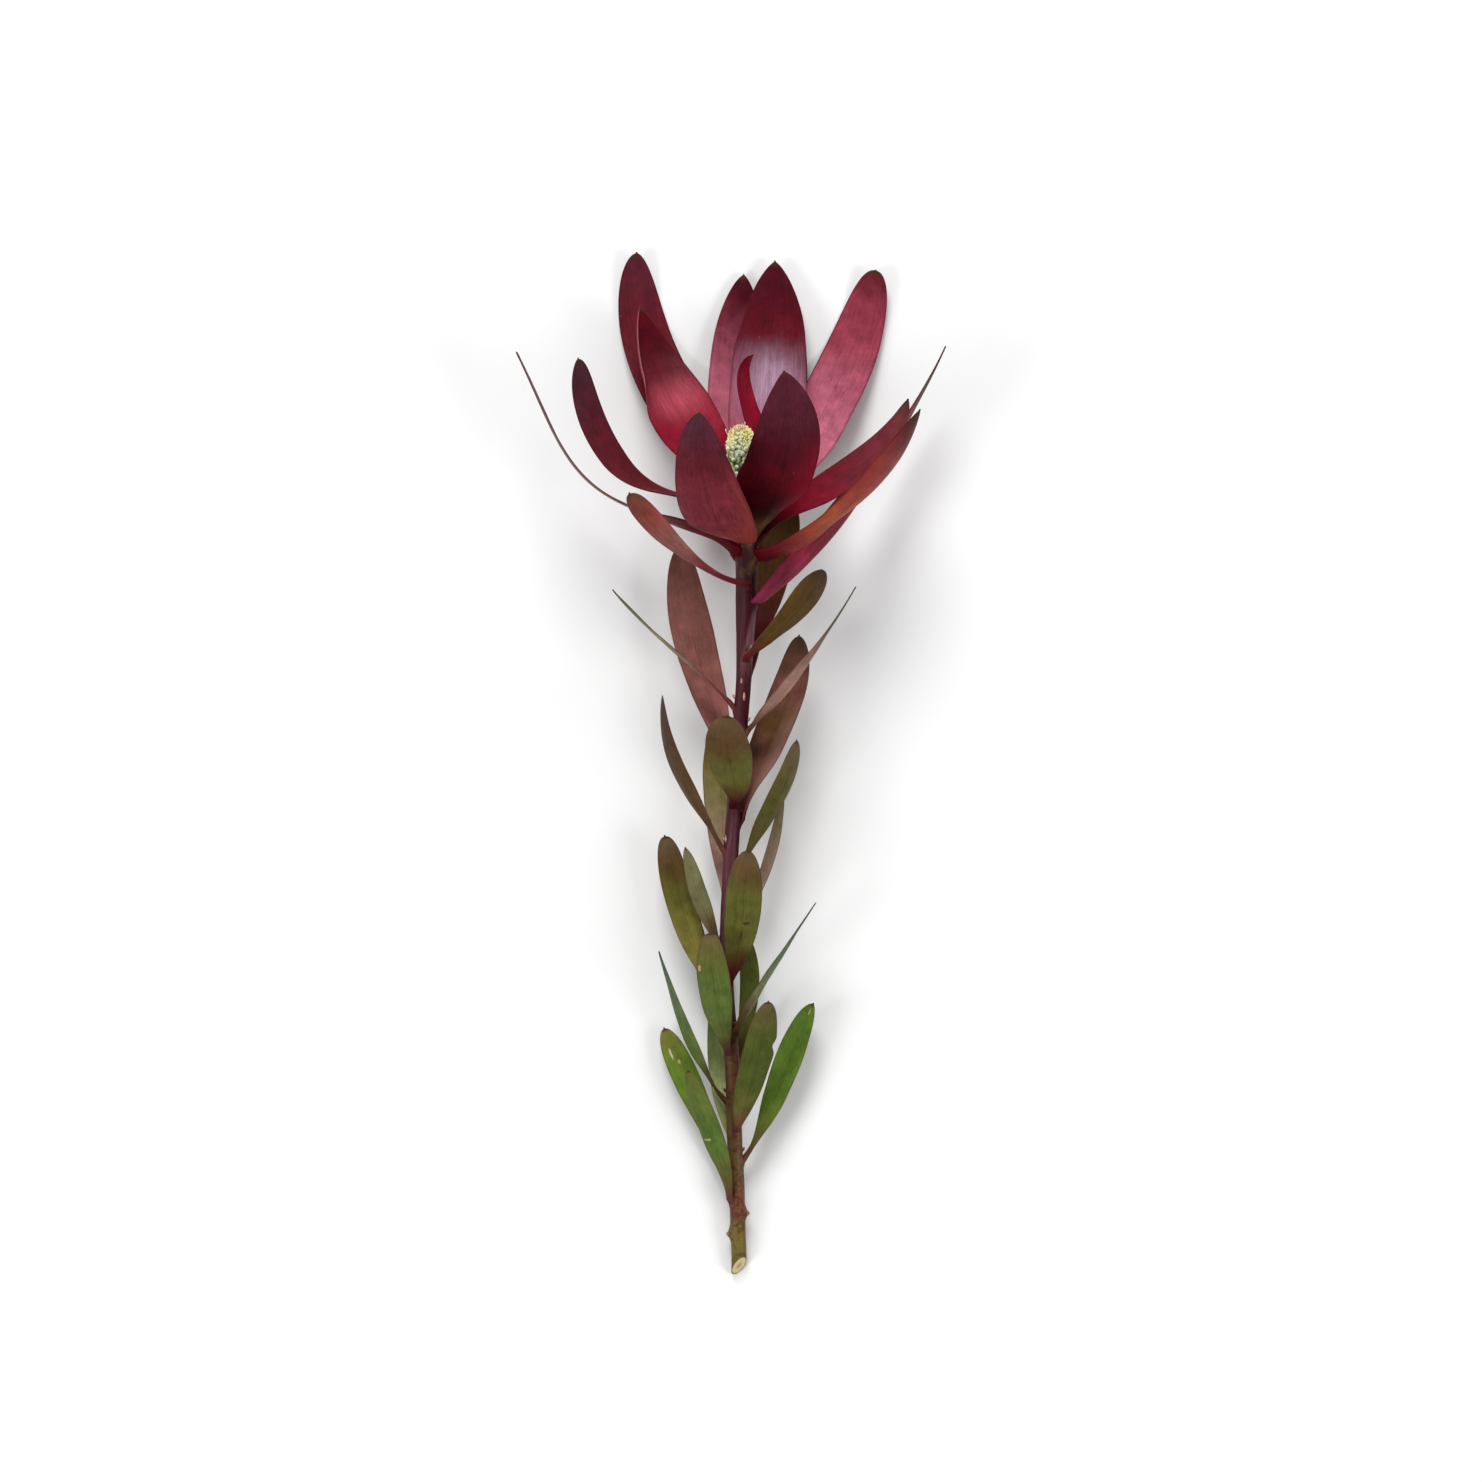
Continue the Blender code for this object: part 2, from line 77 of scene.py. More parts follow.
# Florets low on the cone and on its dome: how many, between which shares of its length, breadth, how far out
FLORET_ZONES = ((170, 0.02, 0.78, 2.3, -0.8), (330, 0.74, 0.995, 1.1, -0.55))
STYLES = 26
FOOT_GAP = 0.45
# What bracts and leaves differ in: the solid's thickness, flare of the foot, flutter of the rim, the thickness that
# is shown and how much more of it the foot has, and how many steps a blade has across and along
KINDS = {
    "bract": dict(solid=0.9, flare=0.4, flutter=0.55, body=0.85, petiole=1.3, columns=24, rows=84),
    "leaf": dict(solid=0.8, flare=-0.1, flutter=0.3, body=0.7, petiole=1.0, columns=20, rows=60),
}
TIP_HALF_WIDTH = 0.35
TIP_CROWDING = 1.35
FACE_LEAN = 0.6
DEFAULT_TURN = (0.0, 0.4)
MIDRIB_STEPS = 401
RIM_WAVE = 0.035
SAG = 0.25
THINNER_AT_TIP = 0.25
MIDRIB_STANDS = 0.26
USUAL_POINT = 0.6
TONES_FROM, TONES_TO = 0.04, 0.96


def blade_of(height, side, rib, width, widest, tip, faces, cup, foot, shows, tones, **more):
    """A blade: height and side of its foot on the stem, points of its midrib, width, share of the length where it is
    widest, bluntness of its tip, sides that its middle and tip face, cup, width of its foot, the face that the photo
    shows, that face's tones from foot to tip, and what else is special to it.
    """
    return dict(height=height, side=side, rib=rib, width=width, widest=widest, tip=tip, faces=faces, cup=cup,
                foot=foot, shows=shows, tones=tones.split(), **more)


# A flank is a tone on one side of the midrib: tone, side, and how much of the width it takes.
# A sheen is a painted highlight, a pale band across the blade: where along it, half its length, tone, and where
# across it is strongest. Marks are scars: share across, share along, length and breadth in millimetres, and tone.
# A lobe is a fuller part of one side: side, share along, reach and extra width. A rim is a pale edge towards the
# tip: tone, side.
# Starts and turn: the side that the foot faces, and the shares between which the blade twists to its mid side.
# A roll curls one rim inwards: side, share along from which, and how much. A point is the tip's reach past the blade.
BRACTS = {
    # Its lighter rust tones towards the foot are partly its own colour, partly painted light.
    "bract_front_left": blade_of(
        279.5, -28, ((-6.2, 280.8, 61), (-13, 295.5, 80), (-15.2, 323, 96)), 25.6, 0.42, 0.66, (-8, -8), 0.22, 7,
        "outer", "rust rust brick brick brick garnet plum plum_grey", point=0.2, flank=("rust", 1, 0.25), veins=1.6),
    # Its near-black tones towards the foot are painted shade.
    "bract_front_right": blade_of(
        282.5, 34, ((11.4, 291.5, 58), (16.9, 310.5, 78), (15.7, 338, 97)), 26.2, 0.5, 0.78, (5, 0), 0.22, 5.2,
        "outer", "patch_brown wine_black wine_black deep_crimson maroon maroon plum plum plum", point=0.4,
        flank=("crimson", 1, 0.6), veins=1.4, lobe=(1, 0.31, 0.13, 3.6)),
    # Its lavender band is a painted highlight, and its pale rose tones low on the blade carry that painted highlight
    # down.
    "bract_back_centre": blade_of(
        284, 187, ((7, 309.5, 24), (11, 344.5, 11), (13, 386.5, 5)), 29, 0.55, 0.72, (180, 180), 0.16, 4.6,
        "inner", "rose pale_rose pale_rose dusty_pink rose plum deep_crimson maroon maroon",
        sheen=(0.53, 0.22, "lavender", 0.05), point=0.5),
    "bract_back_left": blade_of(
        276, 222, ((-1, 310, 16), (-1, 345, 5), (1, 381.5, 3)), 24, 0.55, 0.68, (190, 185), 0.08, 4.6,
        "inner", "dusty_pink pale_rose pale_rose pale_rose pale_rose dusty_pink garnet maroon", point=0.4),
    "bract_back_right": blade_of(
        276, 155, ((13.5, 310, 9), (17.8, 339.5, 2.5), (20, 372, 2.5)), 15.5, 0.55, 0.6, (175, 180), 0.1, 4.6,
        "inner", "crimson deep_crimson deep_crimson crimson garnet"),
    "bract_tall_left": blade_of(
        284, 250, ((-14.8, 313, 25), (-32.4, 346, 4), (-40, 389.5, 6)), 21.2, 0.57, 0.53, (185, 180), 0.14, 4.6,
        "inner", "rose rose crimson deep_crimson deep_crimson garnet garnet plum"),
    "bract_tall_right": blade_of(
        283, 118, ((22.3, 311.5, 20), (40.3, 347, 2.2), (51.5, 383, 6)), 22, 0.52, 0.42, (175, 180), 0.14, 4.6,
        "inner", "rose dusty_pink pale_rose pale_rose dusty_pink rose rose garnet", point=0.3),
    # Its rose_red band is a painted highlight.
    "bract_folded": blade_of(
        287.5, 240, ((-14.5, 312.5, 35), (-29.5, 337.5, 24), (-38.5, 367.5, 22)), 26, 0.5, 0.78, (192, 216), 0.25, 4.4,
        "inner", "deep_crimson crimson crimson crimson crimson garnet garnet maroon deep_crimson",
        sheen=(0.57, 0.15, "rose_red", 0.1), roll=(-1, 0.5, 0.6), rim=("dusty_pink", -1)),
    "bract_hooked": blade_of(
        287.5, 165, ((7.4, 314, 33), (1.2, 335.5, 34.8), (4.4, 348, 39.8)), 8.2, 0.5, 0.5, (200, 200), 0.3, 3,
        "inner", "deep_crimson deep_crimson crimson crimson deep_crimson", roll=(1, 0.5, 0.5)),
    "bract_low_left": blade_of(
        279.5, 272, ((-19, 293.8, 44), (-37.6, 299.2, 48), (-53.4, 316.1, 51), (-61, 345.5, 56)), 14.6, 0.72, 0.5,
        (222, 222), 0.12, 6,
        "inner", "brick brick garnet garnet garnet plum plum_grey", turn=(0.3, 0.6)),
    "bract_edge_left": blade_of(
        275, 300, ((-22, 284.5, 38), (-47, 293.5, 39), (-64, 308, 41), (-84, 348.5, 45)), 20, 0.6, 0.6, (274, 274), 0.03,
        5.6,
        "outer", "deep_crimson garnet pink_brown bronze bronze umber"),
    "bract_low_right": blade_of(
        280, 92, ((29.7, 296, 42), (52, 312.3, 46), (62.5, 330.5, 50)), 18, 0.5, 0.65, (125, 130), 0.14, 4.4,
        "inner", "wine_black deep_crimson crimson garnet brick brick bronze"),
    "bract_orange": blade_of(
        273, 62, ((25.3, 279.5, 52), (49.3, 299.4, 58), (66.5, 326, 60)), 19.5, 0.62, 0.8, (60, 58), 0.14, 7.2,
        "outer", "deep_crimson garnet rust orange_brown orange_brown rust_red rust_red rust garnet umber", starts=0),
    "bract_long_right": blade_of(
        256, 78, ((21.1, 270.2, 38), (47.6, 301.9, 27.5), (77, 351.5, 34)), 19.6, 0.46, 0.7, (48, 86), 0.06, 8.5,
        "outer", "pink crimson deep_crimson crimson deep_crimson garnet umber", turn=(-0.3, 0.1)),
}
LEAVES = {
    "leaf_01": blade_of(
        263, 10, ((-12.5, 266.8, 53), (-30.5, 281, 58), (-41.5, 295, 60)), 12.5, 0.8, 0.5, (-35, -30), 0.15, 3,
        "outer", "garnet garnet brick dusty_brown dusty_brown rust bronze"),
    "leaf_02": blade_of(
        189.5, -150, ((-10, 213.2, 19), (-18, 241.5, 15), (-23, 277.5, 15)), 16, 0.62, 0.55, (-175, -180), 0.12, 4,
        "inner", "brick dusty_rose dusty_rose pink_brown dusty_brown dusty_brown bronze"),
    "leaf_03": blade_of(
        179.5, -5, ((-2.5, 187, 46), (-5, 199.5, 66), (-5, 212, 80)), 17, 0.62, 0.5, (0, 0), 0.2, 4,
        "outer", "maroon olive_brown olive olive olive_brown olive_brown drab"),
    "leaf_04": blade_of(
        216.5, -90, ((-12, 225, 33), (-31.5, 242.2, 36), (-48, 259.5, 40)), 13, 0.6, 0.6, (-82, -86), 0.08, 3.4,
        "outer", "brick pink_brown grey_olive grey_olive blue_green"),
    "leaf_05": blade_of(
        235, 8, ((12, 242.6, 46), (23, 254, 51), (30, 267, 54)), 16.5, 0.7, 0.52, (45, 40), 0.12, 3.2,
        "outer", "garnet gold_brown gold_brown gold_brown umber", point=0.2),
    "leaf_06": blade_of(
        229, 150, ((7.8, 246, 22), (12.3, 271, 14), (16, 299, 9)), 17.5, 0.72, 0.6, (175, 180), 0.12, 3.8,
        "inner", "maroon garnet olive_brown olive_brown umber"),
    # Its pale right flank is painted light on the lit side of its cupped blade.
    "leaf_07": blade_of(
        173, 110, ((6.6, 191.4, 24), (16.6, 215.8, 22), (22, 242.7, 22)), 16, 0.55, 0.52, (150, 160), 0.2, 4,
        "inner", "maroon bronze pink_brown olive_brown olive_brown pink_brown bronze umber",
        flank=("pale_pink_brown", 1, 0.7)),
    "leaf_08": blade_of(
        208, 72, ((13.6, 218.6, 42), (27.8, 236.8, 48), (42.5, 260.3, 52)), 10.5, 0.38, 0.85, (52, 85.5), 0.08, 3.4,
        "outer", "bronze pale_pink_brown pale_pink_brown umber blue_green", turn=(0, 0.2)),
    "leaf_09": blade_of(
        162.5, -75, ((-15.5, 176, 30), (-25.5, 196, 36), (-29.5, 219.5, 38)), 12.2, 0.54, 0.6, (-55, -66), 0.1, 3.2,
        "outer", "bronze olive_brown olive_brown umber umber"),
    "leaf_10": blade_of(
        143.5, -165, ((-6.6, 161.5, 16), (-7.9, 186, 13), (-9.8, 210, 13)), 13.4, 0.58, 0.55, (-175, -180), 0.12, 3.8,
        "inner", "pale_pink_brown pale_pink_brown grey_olive golden_olive olive_brown"),
    "leaf_11": blade_of(
        153, 80, ((8.7, 171, 28), (17.3, 188, 32), (21.1, 203, 34)), 13.2, 0.62, 0.5, (50, 50), 0.14, 3.2,
        "outer", "bronze bark_olive bark_olive bark_olive drab"),
    "leaf_12": blade_of(
        129, 120, ((6.9, 146, 14), (12.7, 162, 12), (16.2, 183.5, 12)), 12, 0.58, 0.6, (106, 106), 0.1, 3.4,
        "inner", "olive grey_olive pale_pink_brown grey_olive drab"),
    "leaf_13": blade_of(
        112, 15, ((-1, 124, 30), (1, 143.5, 45), (2.5, 162, 56)), 14, 0.6, 0.5, (0, 0), 0.15, 3.8,
        "outer", "maroon olive_brown olive olive olive olive olive_brown drab",
        marks=((0.25, 0.47, 1.6, 3.6, "umber"), (0.05, 0.38, 4.5, 1.0, "umber"))),
    "leaf_14": blade_of(
        103.5, -120, ((-15.8, 119.5, 14), (-23.5, 142.5, 12), (-29, 166.5, 13)), 12, 0.62, 0.42, (-160, -170), 0.14, 3.4,
        "inner", "moss golden_olive golden_olive golden_olive olive olive_brown drab"),
    "leaf_15": blade_of(
        85.5, -20, ((-7.5, 94, 24), (-10.5, 113, 36), (-11.5, 131, 45)), 12.5, 0.6, 0.5, (0, 0), 0.15, 3.6,
        "outer", "bronze moss moss moss moss olive drab", marks=((-0.8, 0.72, 3.0, 1.2, "tan"),)),
    "leaf_16": blade_of(
        124.5, -130, ((-12, 133, 17), (-17, 146, 16), (-21, 162, 17)), 8.2, 0.55, 0.6, (-150, -150), 0.14, 2.8,
        "inner", "bronze grey_olive grey_green grey_olive"),
    "leaf_17": blade_of(
        79, 150, ((2.0, 95.5, 8), (3.3, 112.5, 7), (0.3, 131, 8)), 7.5, 0.6, 0.55, (175, 180), 0.1, 3,
        "inner", "olive_brown dark_olive dark_olive olive"),
    "leaf_18": blade_of(
        92.5, 34, ((4.2, 103.6, 18), (15.8, 122.3, 22), (28, 141.3, 26)), 11, 0.55, 0.6, (70, 84), 0.06, 3,
        "outer", "olive_brown grey_olive sage blue_green blue_green"),
    "leaf_19": blade_of(
        56, 16, ((2.3, 68.5, 20), (6.9, 86, 28), (10.3, 104.5, 36)), 12.8, 0.56, 0.48, (20, 15), 0.14, 3.4,
        "outer", "bronze olive dark_olive dark_olive dark_olive dark_olive drab"),
    "leaf_20": blade_of(
        43.5, 105, ((9.5, 58, 9), (18.5, 80.5, 9), (27.5, 102.5, 12)), 13.4, 0.62, 0.55, (140, 145), 0.12, 3.2,
        "inner", "bronze olive bright_green leaf_green bright_green leaf_green bright_green",
        marks=((0.1, 0.95, 3.0, 1.6, "tan"),)),
    "leaf_21": blade_of(
        31, -130, ((-11.5, 52.5, 5), (-22.9, 77.5, 4.5), (-29.4, 92.8, 5)), 11.1, 0.7, 0.5, (-165, -170), 0.08, 3.2,
        "inner", "bronze moss moss bright_green bright_green golden_olive",
        marks=((-0.3, 0.85, 5.0, 0.8, "cream"), (0.05, 0.79, 2.0, 1.2, "tan"))),
    "leaf_22": blade_of(
        28, -48, ((-7.5, 41.5, 14), (-14.5, 61, 20), (-20, 78, 25)), 10.5, 0.6, 0.5, (-25, -30), 0.14, 3.2,
        "outer", "bronze olive moss leaf_green moss moss olive", marks=((-0.4, 0.47, 1.0, 4.0, "tan"),)),
    "leaf_23": blade_of(
        66.5, -85, ((-14.4, 77.8, 13), (-23.4, 98, 15), (-30.9, 122.5, 18)), 8.8, 0.42, 0.6, (-50, -70), 0.08, 3,
        "outer", "olive_brown moss moss sage blue_green"),
    "leaf_24": blade_of(
        46.5, 165, ((-6, 62.5, 6.3), (-8.3, 85, 6), (-9.6, 107.5, 7)), 9.1, 0.6, 0.55, (180, 180), 0.08, 2.8,
        "inner", "golden_olive pale_green pale_green leaf_green sage"),
}
BLADES = {**BRACTS, **LEAVES}

PALETTE = dict(
    wine_black="#2c0307", maroon="#480a18", deep_crimson="#5e0514", garnet="#621c26", crimson="#861029",
    rose="#983c4e", dusty_pink="#b05a70", lavender="#b090a8", pink="#b23a62", plum="#541e2c", plum_grey="#4a2832",
    brick="#762a36", rust="#883630", orange_brown="#a04a2c", bronze="#5e3a30", pink_brown="#7c4e46",
    pale_pink_brown="#a07a6c", umber="#453020", olive_brown="#5a4022", olive="#60622a", dark_olive="#4a5522",
    golden_olive="#7c7438", moss="#5a6c32", leaf_green="#4f6a29", bright_green="#607e2a", grey_green="#7e865a",
    grey_olive="#827a56", blue_green="#3e5438", sage="#5c7450", tan="#b89a6c", cream="#d6c9a0", pale_rose="#c2687e",
    rust_red="#90322a", dusty_brown="#885850", dusty_rose="#9a625c", gold_brown="#5c441c", drab="#66543a",
    bark_olive="#545020", patch_brown="#6c4c2c", pale_green="#a8b478", rose_red="#b84a5c",
)

ABOVE_TABLE = 0.03
# How a blade's foot goes into the stem, ring by ring: size, how far inwards and how far down the stem
WIDE_FOOT = 7.0
NARROW_COLLAR = ((0.75, 2.2, 3.4), (0.95, 1.45, 2.3), (1.05, 0.9, 1.2), (1.05, 0.4, 0.45))
WIDE_COLLAR = ((0.5, 2.6, 0.9), (0.7, 1.9, 0.6), (0.85, 1.2, 0.3), (0.96, 0.5, 0.1))
# How a blade ends past its tip, ring by ring: size and reach
TIP_RINGS = ((0.95, 0.25), (0.8, 0.6), (0.5, 0.9), (0.15, 1.1))
BITES = {"leaf_19": ((-1, 0.66, 1.5, 2.2),)}     # side, share along, depth and half length of a missing bit of rim
PALE_BUDS = ("leaf_04", "leaf_06", "leaf_08", "leaf_09", "leaf_22", "leaf_24")
# Pale scales on the stem: height, side, length and width. Snapped leaf stalks: height and side
AXIL_SCALES = ((218.2, 14, 3.8, 1.3), (224.8, -16, 2.4, 1.1), (237.0, 46, 3.2, 1.2), (164.5, -56, 3.2, 1.3),
               (93.0, 70, 2.0, 1.0))
SNAPPED_STALKS = ((22.0, 80), (14.0, -80))

# Tones of the bark by share of the stem's height, of the cut by share of its radius, and of the florets and the
# gaps between them by share of the cone's length. The gaps' dark green low on the cone is painted shade.
BARK_TONES = (
    (0.0, "#66621e"), (0.06, "#665420"), (0.09, "#683826"), (0.13, "#5e4822"), (0.2, "#644c2c"), (0.27, "#5e402a"),
    (0.33, "#3e281c"), (0.42, "#340d18"), (0.56, "#542630"), (0.66, "#3e1018"), (0.8, "#48161e"), (0.9, "#3e0c14"),
    (1.0, "#4c2018"),
)
CUT_TONES = (
    (0.0, "#b08c66"), (0.2, "#b89872"), (0.34, "#cdbb8c"), (0.78, "#d6c698"), (0.88, "#c0ad74"), (0.93, "#7c7440"),
    (1.0, "#4c4026"),
)
FLORET_TONES = (
    (0.0, "#64843c"), (0.5, "#96aa66"), (0.72, "#c8cf98"), (0.82, "#e6e4b8"), (1.0, "#e6dfa0"),
)
GAP_SHADE_TONES = (
    (0.0, "#1c280e"), (0.66, "#34431c"), (0.8, "#a8a468"), (1.0, "#c4b668"),
)

TABLE_HALF = 4.0
LIGHT_SIZE = 0.9
# Lights: name, place and target in metres, and power
LIGHTS = (
    ("window_above_head", (-0.25, 1.5, 1.35), (0, 0.05, 0.03), 27),
    ("window_right", (1.3, -0.5, 1.2), (0, 0, 0), 12),
    ("window_left", (-1.3, -0.6, 1.2), (0, 0, 0), 12),
)
CAMERA_PLACE = (0.0030, 0.00892, 2.020)
CAMERA_LENS = 127.85
CAMERA_SENSOR = 36.0


def unit(vectors):
    return vectors / np.linalg.norm(vectors, axis=-1, keepdims=True)


def ease(x):
    x = np.clip(x, 0, 1)
    return x * x * (3 - 2 * x)


STEM_AXIS = unit(np.array((0.0, 1.0, STEM_RISE)))
STEM_UPPER = np.array((0.0, -STEM_AXIS[2], STEM_AXIS[1]))
STEM_RIGHT = np.array((1.0, 0.0, 0.0))


def stem_middle(height):
    height = np.asarray(height, float)
    swing = np.mean([np.interp(height + step, STEM_HEIGHTS, STEM_SWING) for step in SWING_SMOOTHING], axis=0)
    return np.stack([swing, height, STEM_START_LIFT + STEM_RISE * height], -1)


def stem_radius(height):
    return np.interp(height, STEM_HEIGHTS, STEM_RADIUS)


def outward(side):
    """Direction away from the stem on one side of it, in degrees round it."""
    side = np.radians(np.asarray(side, float))[..., None]
    return np.cos(side) * STEM_UPPER + np.sin(side) * STEM_RIGHT


def swelling(height, side, ridges=0.0):
    """How far the leaf cushions and scars stand out of the stem, and the ridges that run down from them."""
    bumps = [(blade["height"] - CUSHION_BELOW_FOOT, blade["side"], *CUSHION_SIZE) for blade in BLADES.values()]
    runs = [(blade["height"] - RIDGE_BELOW_FOOT, blade["side"], ridges, *RIDGE_SIZE)
            for blade in LEAVES.values()] if ridges else []
    highest = np.zeros(np.broadcast(height, side).shape)
    for centre, bump_side, stands, half_length, half_angle in (*bumps, *runs, *SCARS):
        turn = (side - bump_side + 180) % 360 - 180
        falloff = ((height - centre) / half_length) ** 2 + (turn / half_angle) ** 2
        highest = np.maximum(highest, stands * np.exp(-falloff / 2))
    return highest


def clear_of_stem(points, room):
    """The points, with those that come too near the stem moved straight out from it."""
    middle = stem_middle(points[..., 1])
    away = points - middle
    side = np.degrees(np.arctan2(away @ STEM_RIGHT, away @ STEM_UPPER))
    need = stem_radius(points[..., 1]) + swelling(points[..., 1], side) + room
    return middle + away * np.maximum(1, need / np.linalg.norm(away, axis=-1))[..., None]


def along_curve(curve, steps):
    return np.stack([np.polyval(curve[:, axis], steps) for axis in range(3)], -1)


def midrib(points):
    """The smooth curve through the points: its coefficients, where each share of its length lies, its length."""
    points = np.asarray(points, float)
    reach = np.sqrt(np.linalg.norm(np.diff(points, axis=0), axis=1))
    knots = np.concatenate([[0], np.cumsum(reach)]) / reach.sum()
    curve = np.polyfit(knots, points, len(points) - 1)
    steps = np.linspace(0, 1, MIDRIB_STEPS)
    walked = np.cumsum(np.linalg.norm(np.diff(along_curve(curve, steps), axis=0), axis=1))
    return curve, steps, np.concatenate([[0], walked]) / walked[-1], walked[-1]


def half_width(blade, along):
    tip = blade["tip"]
    base = tip * blade["widest"] / (1 - blade["widest"])
    peak = blade["widest"] ** base * (1 - blade["widest"]) ** tip
    body = blade["width"] / 2 * along ** base * (1 - along) ** tip / peak
    foot = blade["foot"] / 2 * (1 - along)
    return (body ** 4 + foot ** 4 + TIP_HALF_WIDTH ** 4) ** 0.25


def wander(seed, places, pace):
    """A column of smooth values between about -1 and 1 that change with place, the same on each run."""
    return np.array([[noise.noise(Vector((place * pace, seed * 0.37, 1.5)))] for place in places]) * 1.6


def bump_at(x, centre, spread):
    return np.exp(-((x - centre) / spread) ** 2)


def blade_rings(name):
    """Rings of points round the blade from its foot, sunk in the stem, to its pointed tip, with their places."""
    blade = BLADES[name]
    kind = KINDS[name.split("_")[0]]
    seed = sum(map(ord, name))
    thick = kind["solid"]
    start = stem_middle(blade["height"])
    start = start + (stem_radius(blade["height"]) + FOOT_GAP + thick / 2) * outward(blade["side"])
    curve, steps, walked, length = midrib([start, *blade["rib"]])
    along = 1 - np.linspace(1, 0, kind["rows"] + 1) ** TIP_CROWDING
    at = np.interp(along, walked, steps)
    middle = along_curve(curve, at)
    slope = np.stack([np.polyval(np.polyder(curve[:, axis]), at) for axis in range(3)], -1)
    forward = unit(slope)
    turn_start, turn_end = blade.get("turn", DEFAULT_TURN)
    mid_side, tip_side = blade["faces"]
    start_side = blade.get("starts", blade["side"])
    outer = start_side + (mid_side - start_side) * ease((along - turn_start) / (turn_end - turn_start))
    outer = outer + (tip_side - mid_side) * ease((along - turn_end) / (1 - turn_end))
    sideways = unit(np.cross(forward, FACE_LEAN * STEM_AXIS - outward(outer)))
    inward = np.cross(sideways, forward)

    columns = kind["columns"]
    turns = np.linspace(0, math.pi, columns + 1)
    across = np.concatenate([-np.cos(turns), np.cos(turns[1:-1])])
    face = np.concatenate([-np.ones(columns + 1), np.ones(columns - 1)])
    u = across[None, :]
    a = along[:, None]
    half = half_width(blade, along)[:, None]
    narrow_foot = blade["foot"] < WIDE_FOOT
    half = half * (1 + kind["flare"] * narrow_foot * bump_at(a, 0, 0.05))
    rim_wave = np.where(u < 0, wander(seed, along, 5), wander(seed + 9, along, 5))
    half = half * (1 + RIM_WAVE * rim_wave * ease(a / 0.2) * ease((1 - a) / 0.1))
    if "lobe" in blade:
        side, share, reach, extra = blade["lobe"]
        half = np.where(u * side > 0, half + extra * bump_at(a, share, reach), half)
    for side, share, depth, bite_length in BITES.get(name, ()):
        gone = bump_at(a * length, share * length, bite_length) * depth
        half = np.where(u * side > 0, half - gone, half)
    rise = blade["cup"] * half * u ** 2
    flutter = np.where(u < 0, wander(seed + 3, along, 4), wander(seed + 5, along, 4))
    flutter = flutter * kind["flutter"] * np.abs(u) ** 2.5 * ease(a / 0.25)
    sag = wander(seed + 7, along, 2.5) * SAG * ease(a / 0.3)
    normal = unit(inward[:, None, :] - (2 * blade["cup"] * u)[..., None] * sideways[:, None, :])
    points = middle[:, None, :] + sideways[:, None, :] * (half * u)[..., None] + inward[:, None, :] * rise[..., None]
    points = points + normal * (flutter + sag)[..., None]
    if "roll" in blade:
        side, from_share, amount = blade["roll"]
        rolled = np.clip(u * side - 0.35, 0, 1) ** 2 * amount * half * ease((a - from_share) / 0.2)
        points = points + normal * rolled[..., None] * 0.8
        points = points - sideways[:, None, :] * (side * rolled * 0.7)[..., None]
    points = clear_of_stem(points, FOOT_GAP + thick / 2)
    points[..., 2] = np.maximum(points[..., 2], thick / 2)

    body = kind["body"] - THINNER_AT_TIP * a
    petiole = kind["petiole"] * bump_at(a, 0, 0.07)
    round_rim = np.sqrt(np.clip(1 - u ** 6, 0, 1))
    rib = MIDRIB_STANDS * (1 - a) ** 0.6 * bump_at(u, 0, 0.13)
    depth = (body + petiole) / 2 * round_rim + np.where(face < 0, rib, -0.4 * rib)
    points = points + normal * (face * depth)[..., None]
    points[..., 2] = np.maximum(points[..., 2], ABOVE_TABLE)

    centre = points[0].mean(0)
    collar = NARROW_COLLAR if narrow_foot else WIDE_COLLAR
    before = [centre + (points[0] - centre) * size - inwards * outward(blade["side"]) - downwards * STEM_AXIS
              for size, inwards, downwards in collar]
    end = points[-1].mean(0)
    point = blade.get("point", USUAL_POINT)
    after = [end + (points[-1] - end) * size + forward[-1] * reach * point for size, reach in TIP_RINGS]
    rings = np.array([*before, *points, *after])
    places = np.concatenate([np.zeros(len(before)), along, np.ones(len(after))])
    return rings, across, places, length


def ring_mesh(name, rings, across, places, inner_from=None):
    """A closed piece through rings of points, with a fan at each end.

    Its UV map "blade" holds the places across and along, and "face" is 1 past the column inner_from.
    """
    count, round_count = rings.shape[:2]
    points = np.concatenate([rings.reshape(-1, 3), [rings[0].mean(0), rings[-1].mean(0)]])
    points = (points - np.array(BASE_MIDDLE)) * MM
    faces = []
    for row in range(count - 1):
        for column in range(round_count):
            after = (column + 1) % round_count
            faces.append((row * round_count + column, row * round_count + after,
                          (row + 1) * round_count + after, (row + 1) * round_count + column))
    first, last = count * round_count, count * round_count + 1
    top = (count - 1) * round_count
    for column in range(round_count):
        after = (column + 1) % round_count
        faces.append((first, after, column))
        faces.append((last, top + column, top + after))
    mesh = bpy.data.meshes.new(name)
    mesh.from_pydata([tuple(point) for point in points], [], faces)
    place = mesh.uv_layers.new(name="blade")
    side = mesh.uv_layers.new(name="face")
    for face in mesh.polygons:
        columns = [index % round_count for index in face.vertices if index < first]
        inner = float(inner_from is not None and max(columns) > inner_from)
        for loop, index in zip(face.loop_indices, face.vertices):
            if index < first:
                row, column = divmod(index, round_count)
                place.data[loop].uv = (across[column] / 2 + 0.5, places[row])
            else:
                place.data[loop].uv = (0.5, places[0] if index == first else places[-1])
            side.data[loop].uv = (inner, 0.0)
    mesh.shade_smooth()
    piece = bpy.data.objects.new(name, mesh)
    bpy.context.scene.collection.objects.link(piece)
    return piece


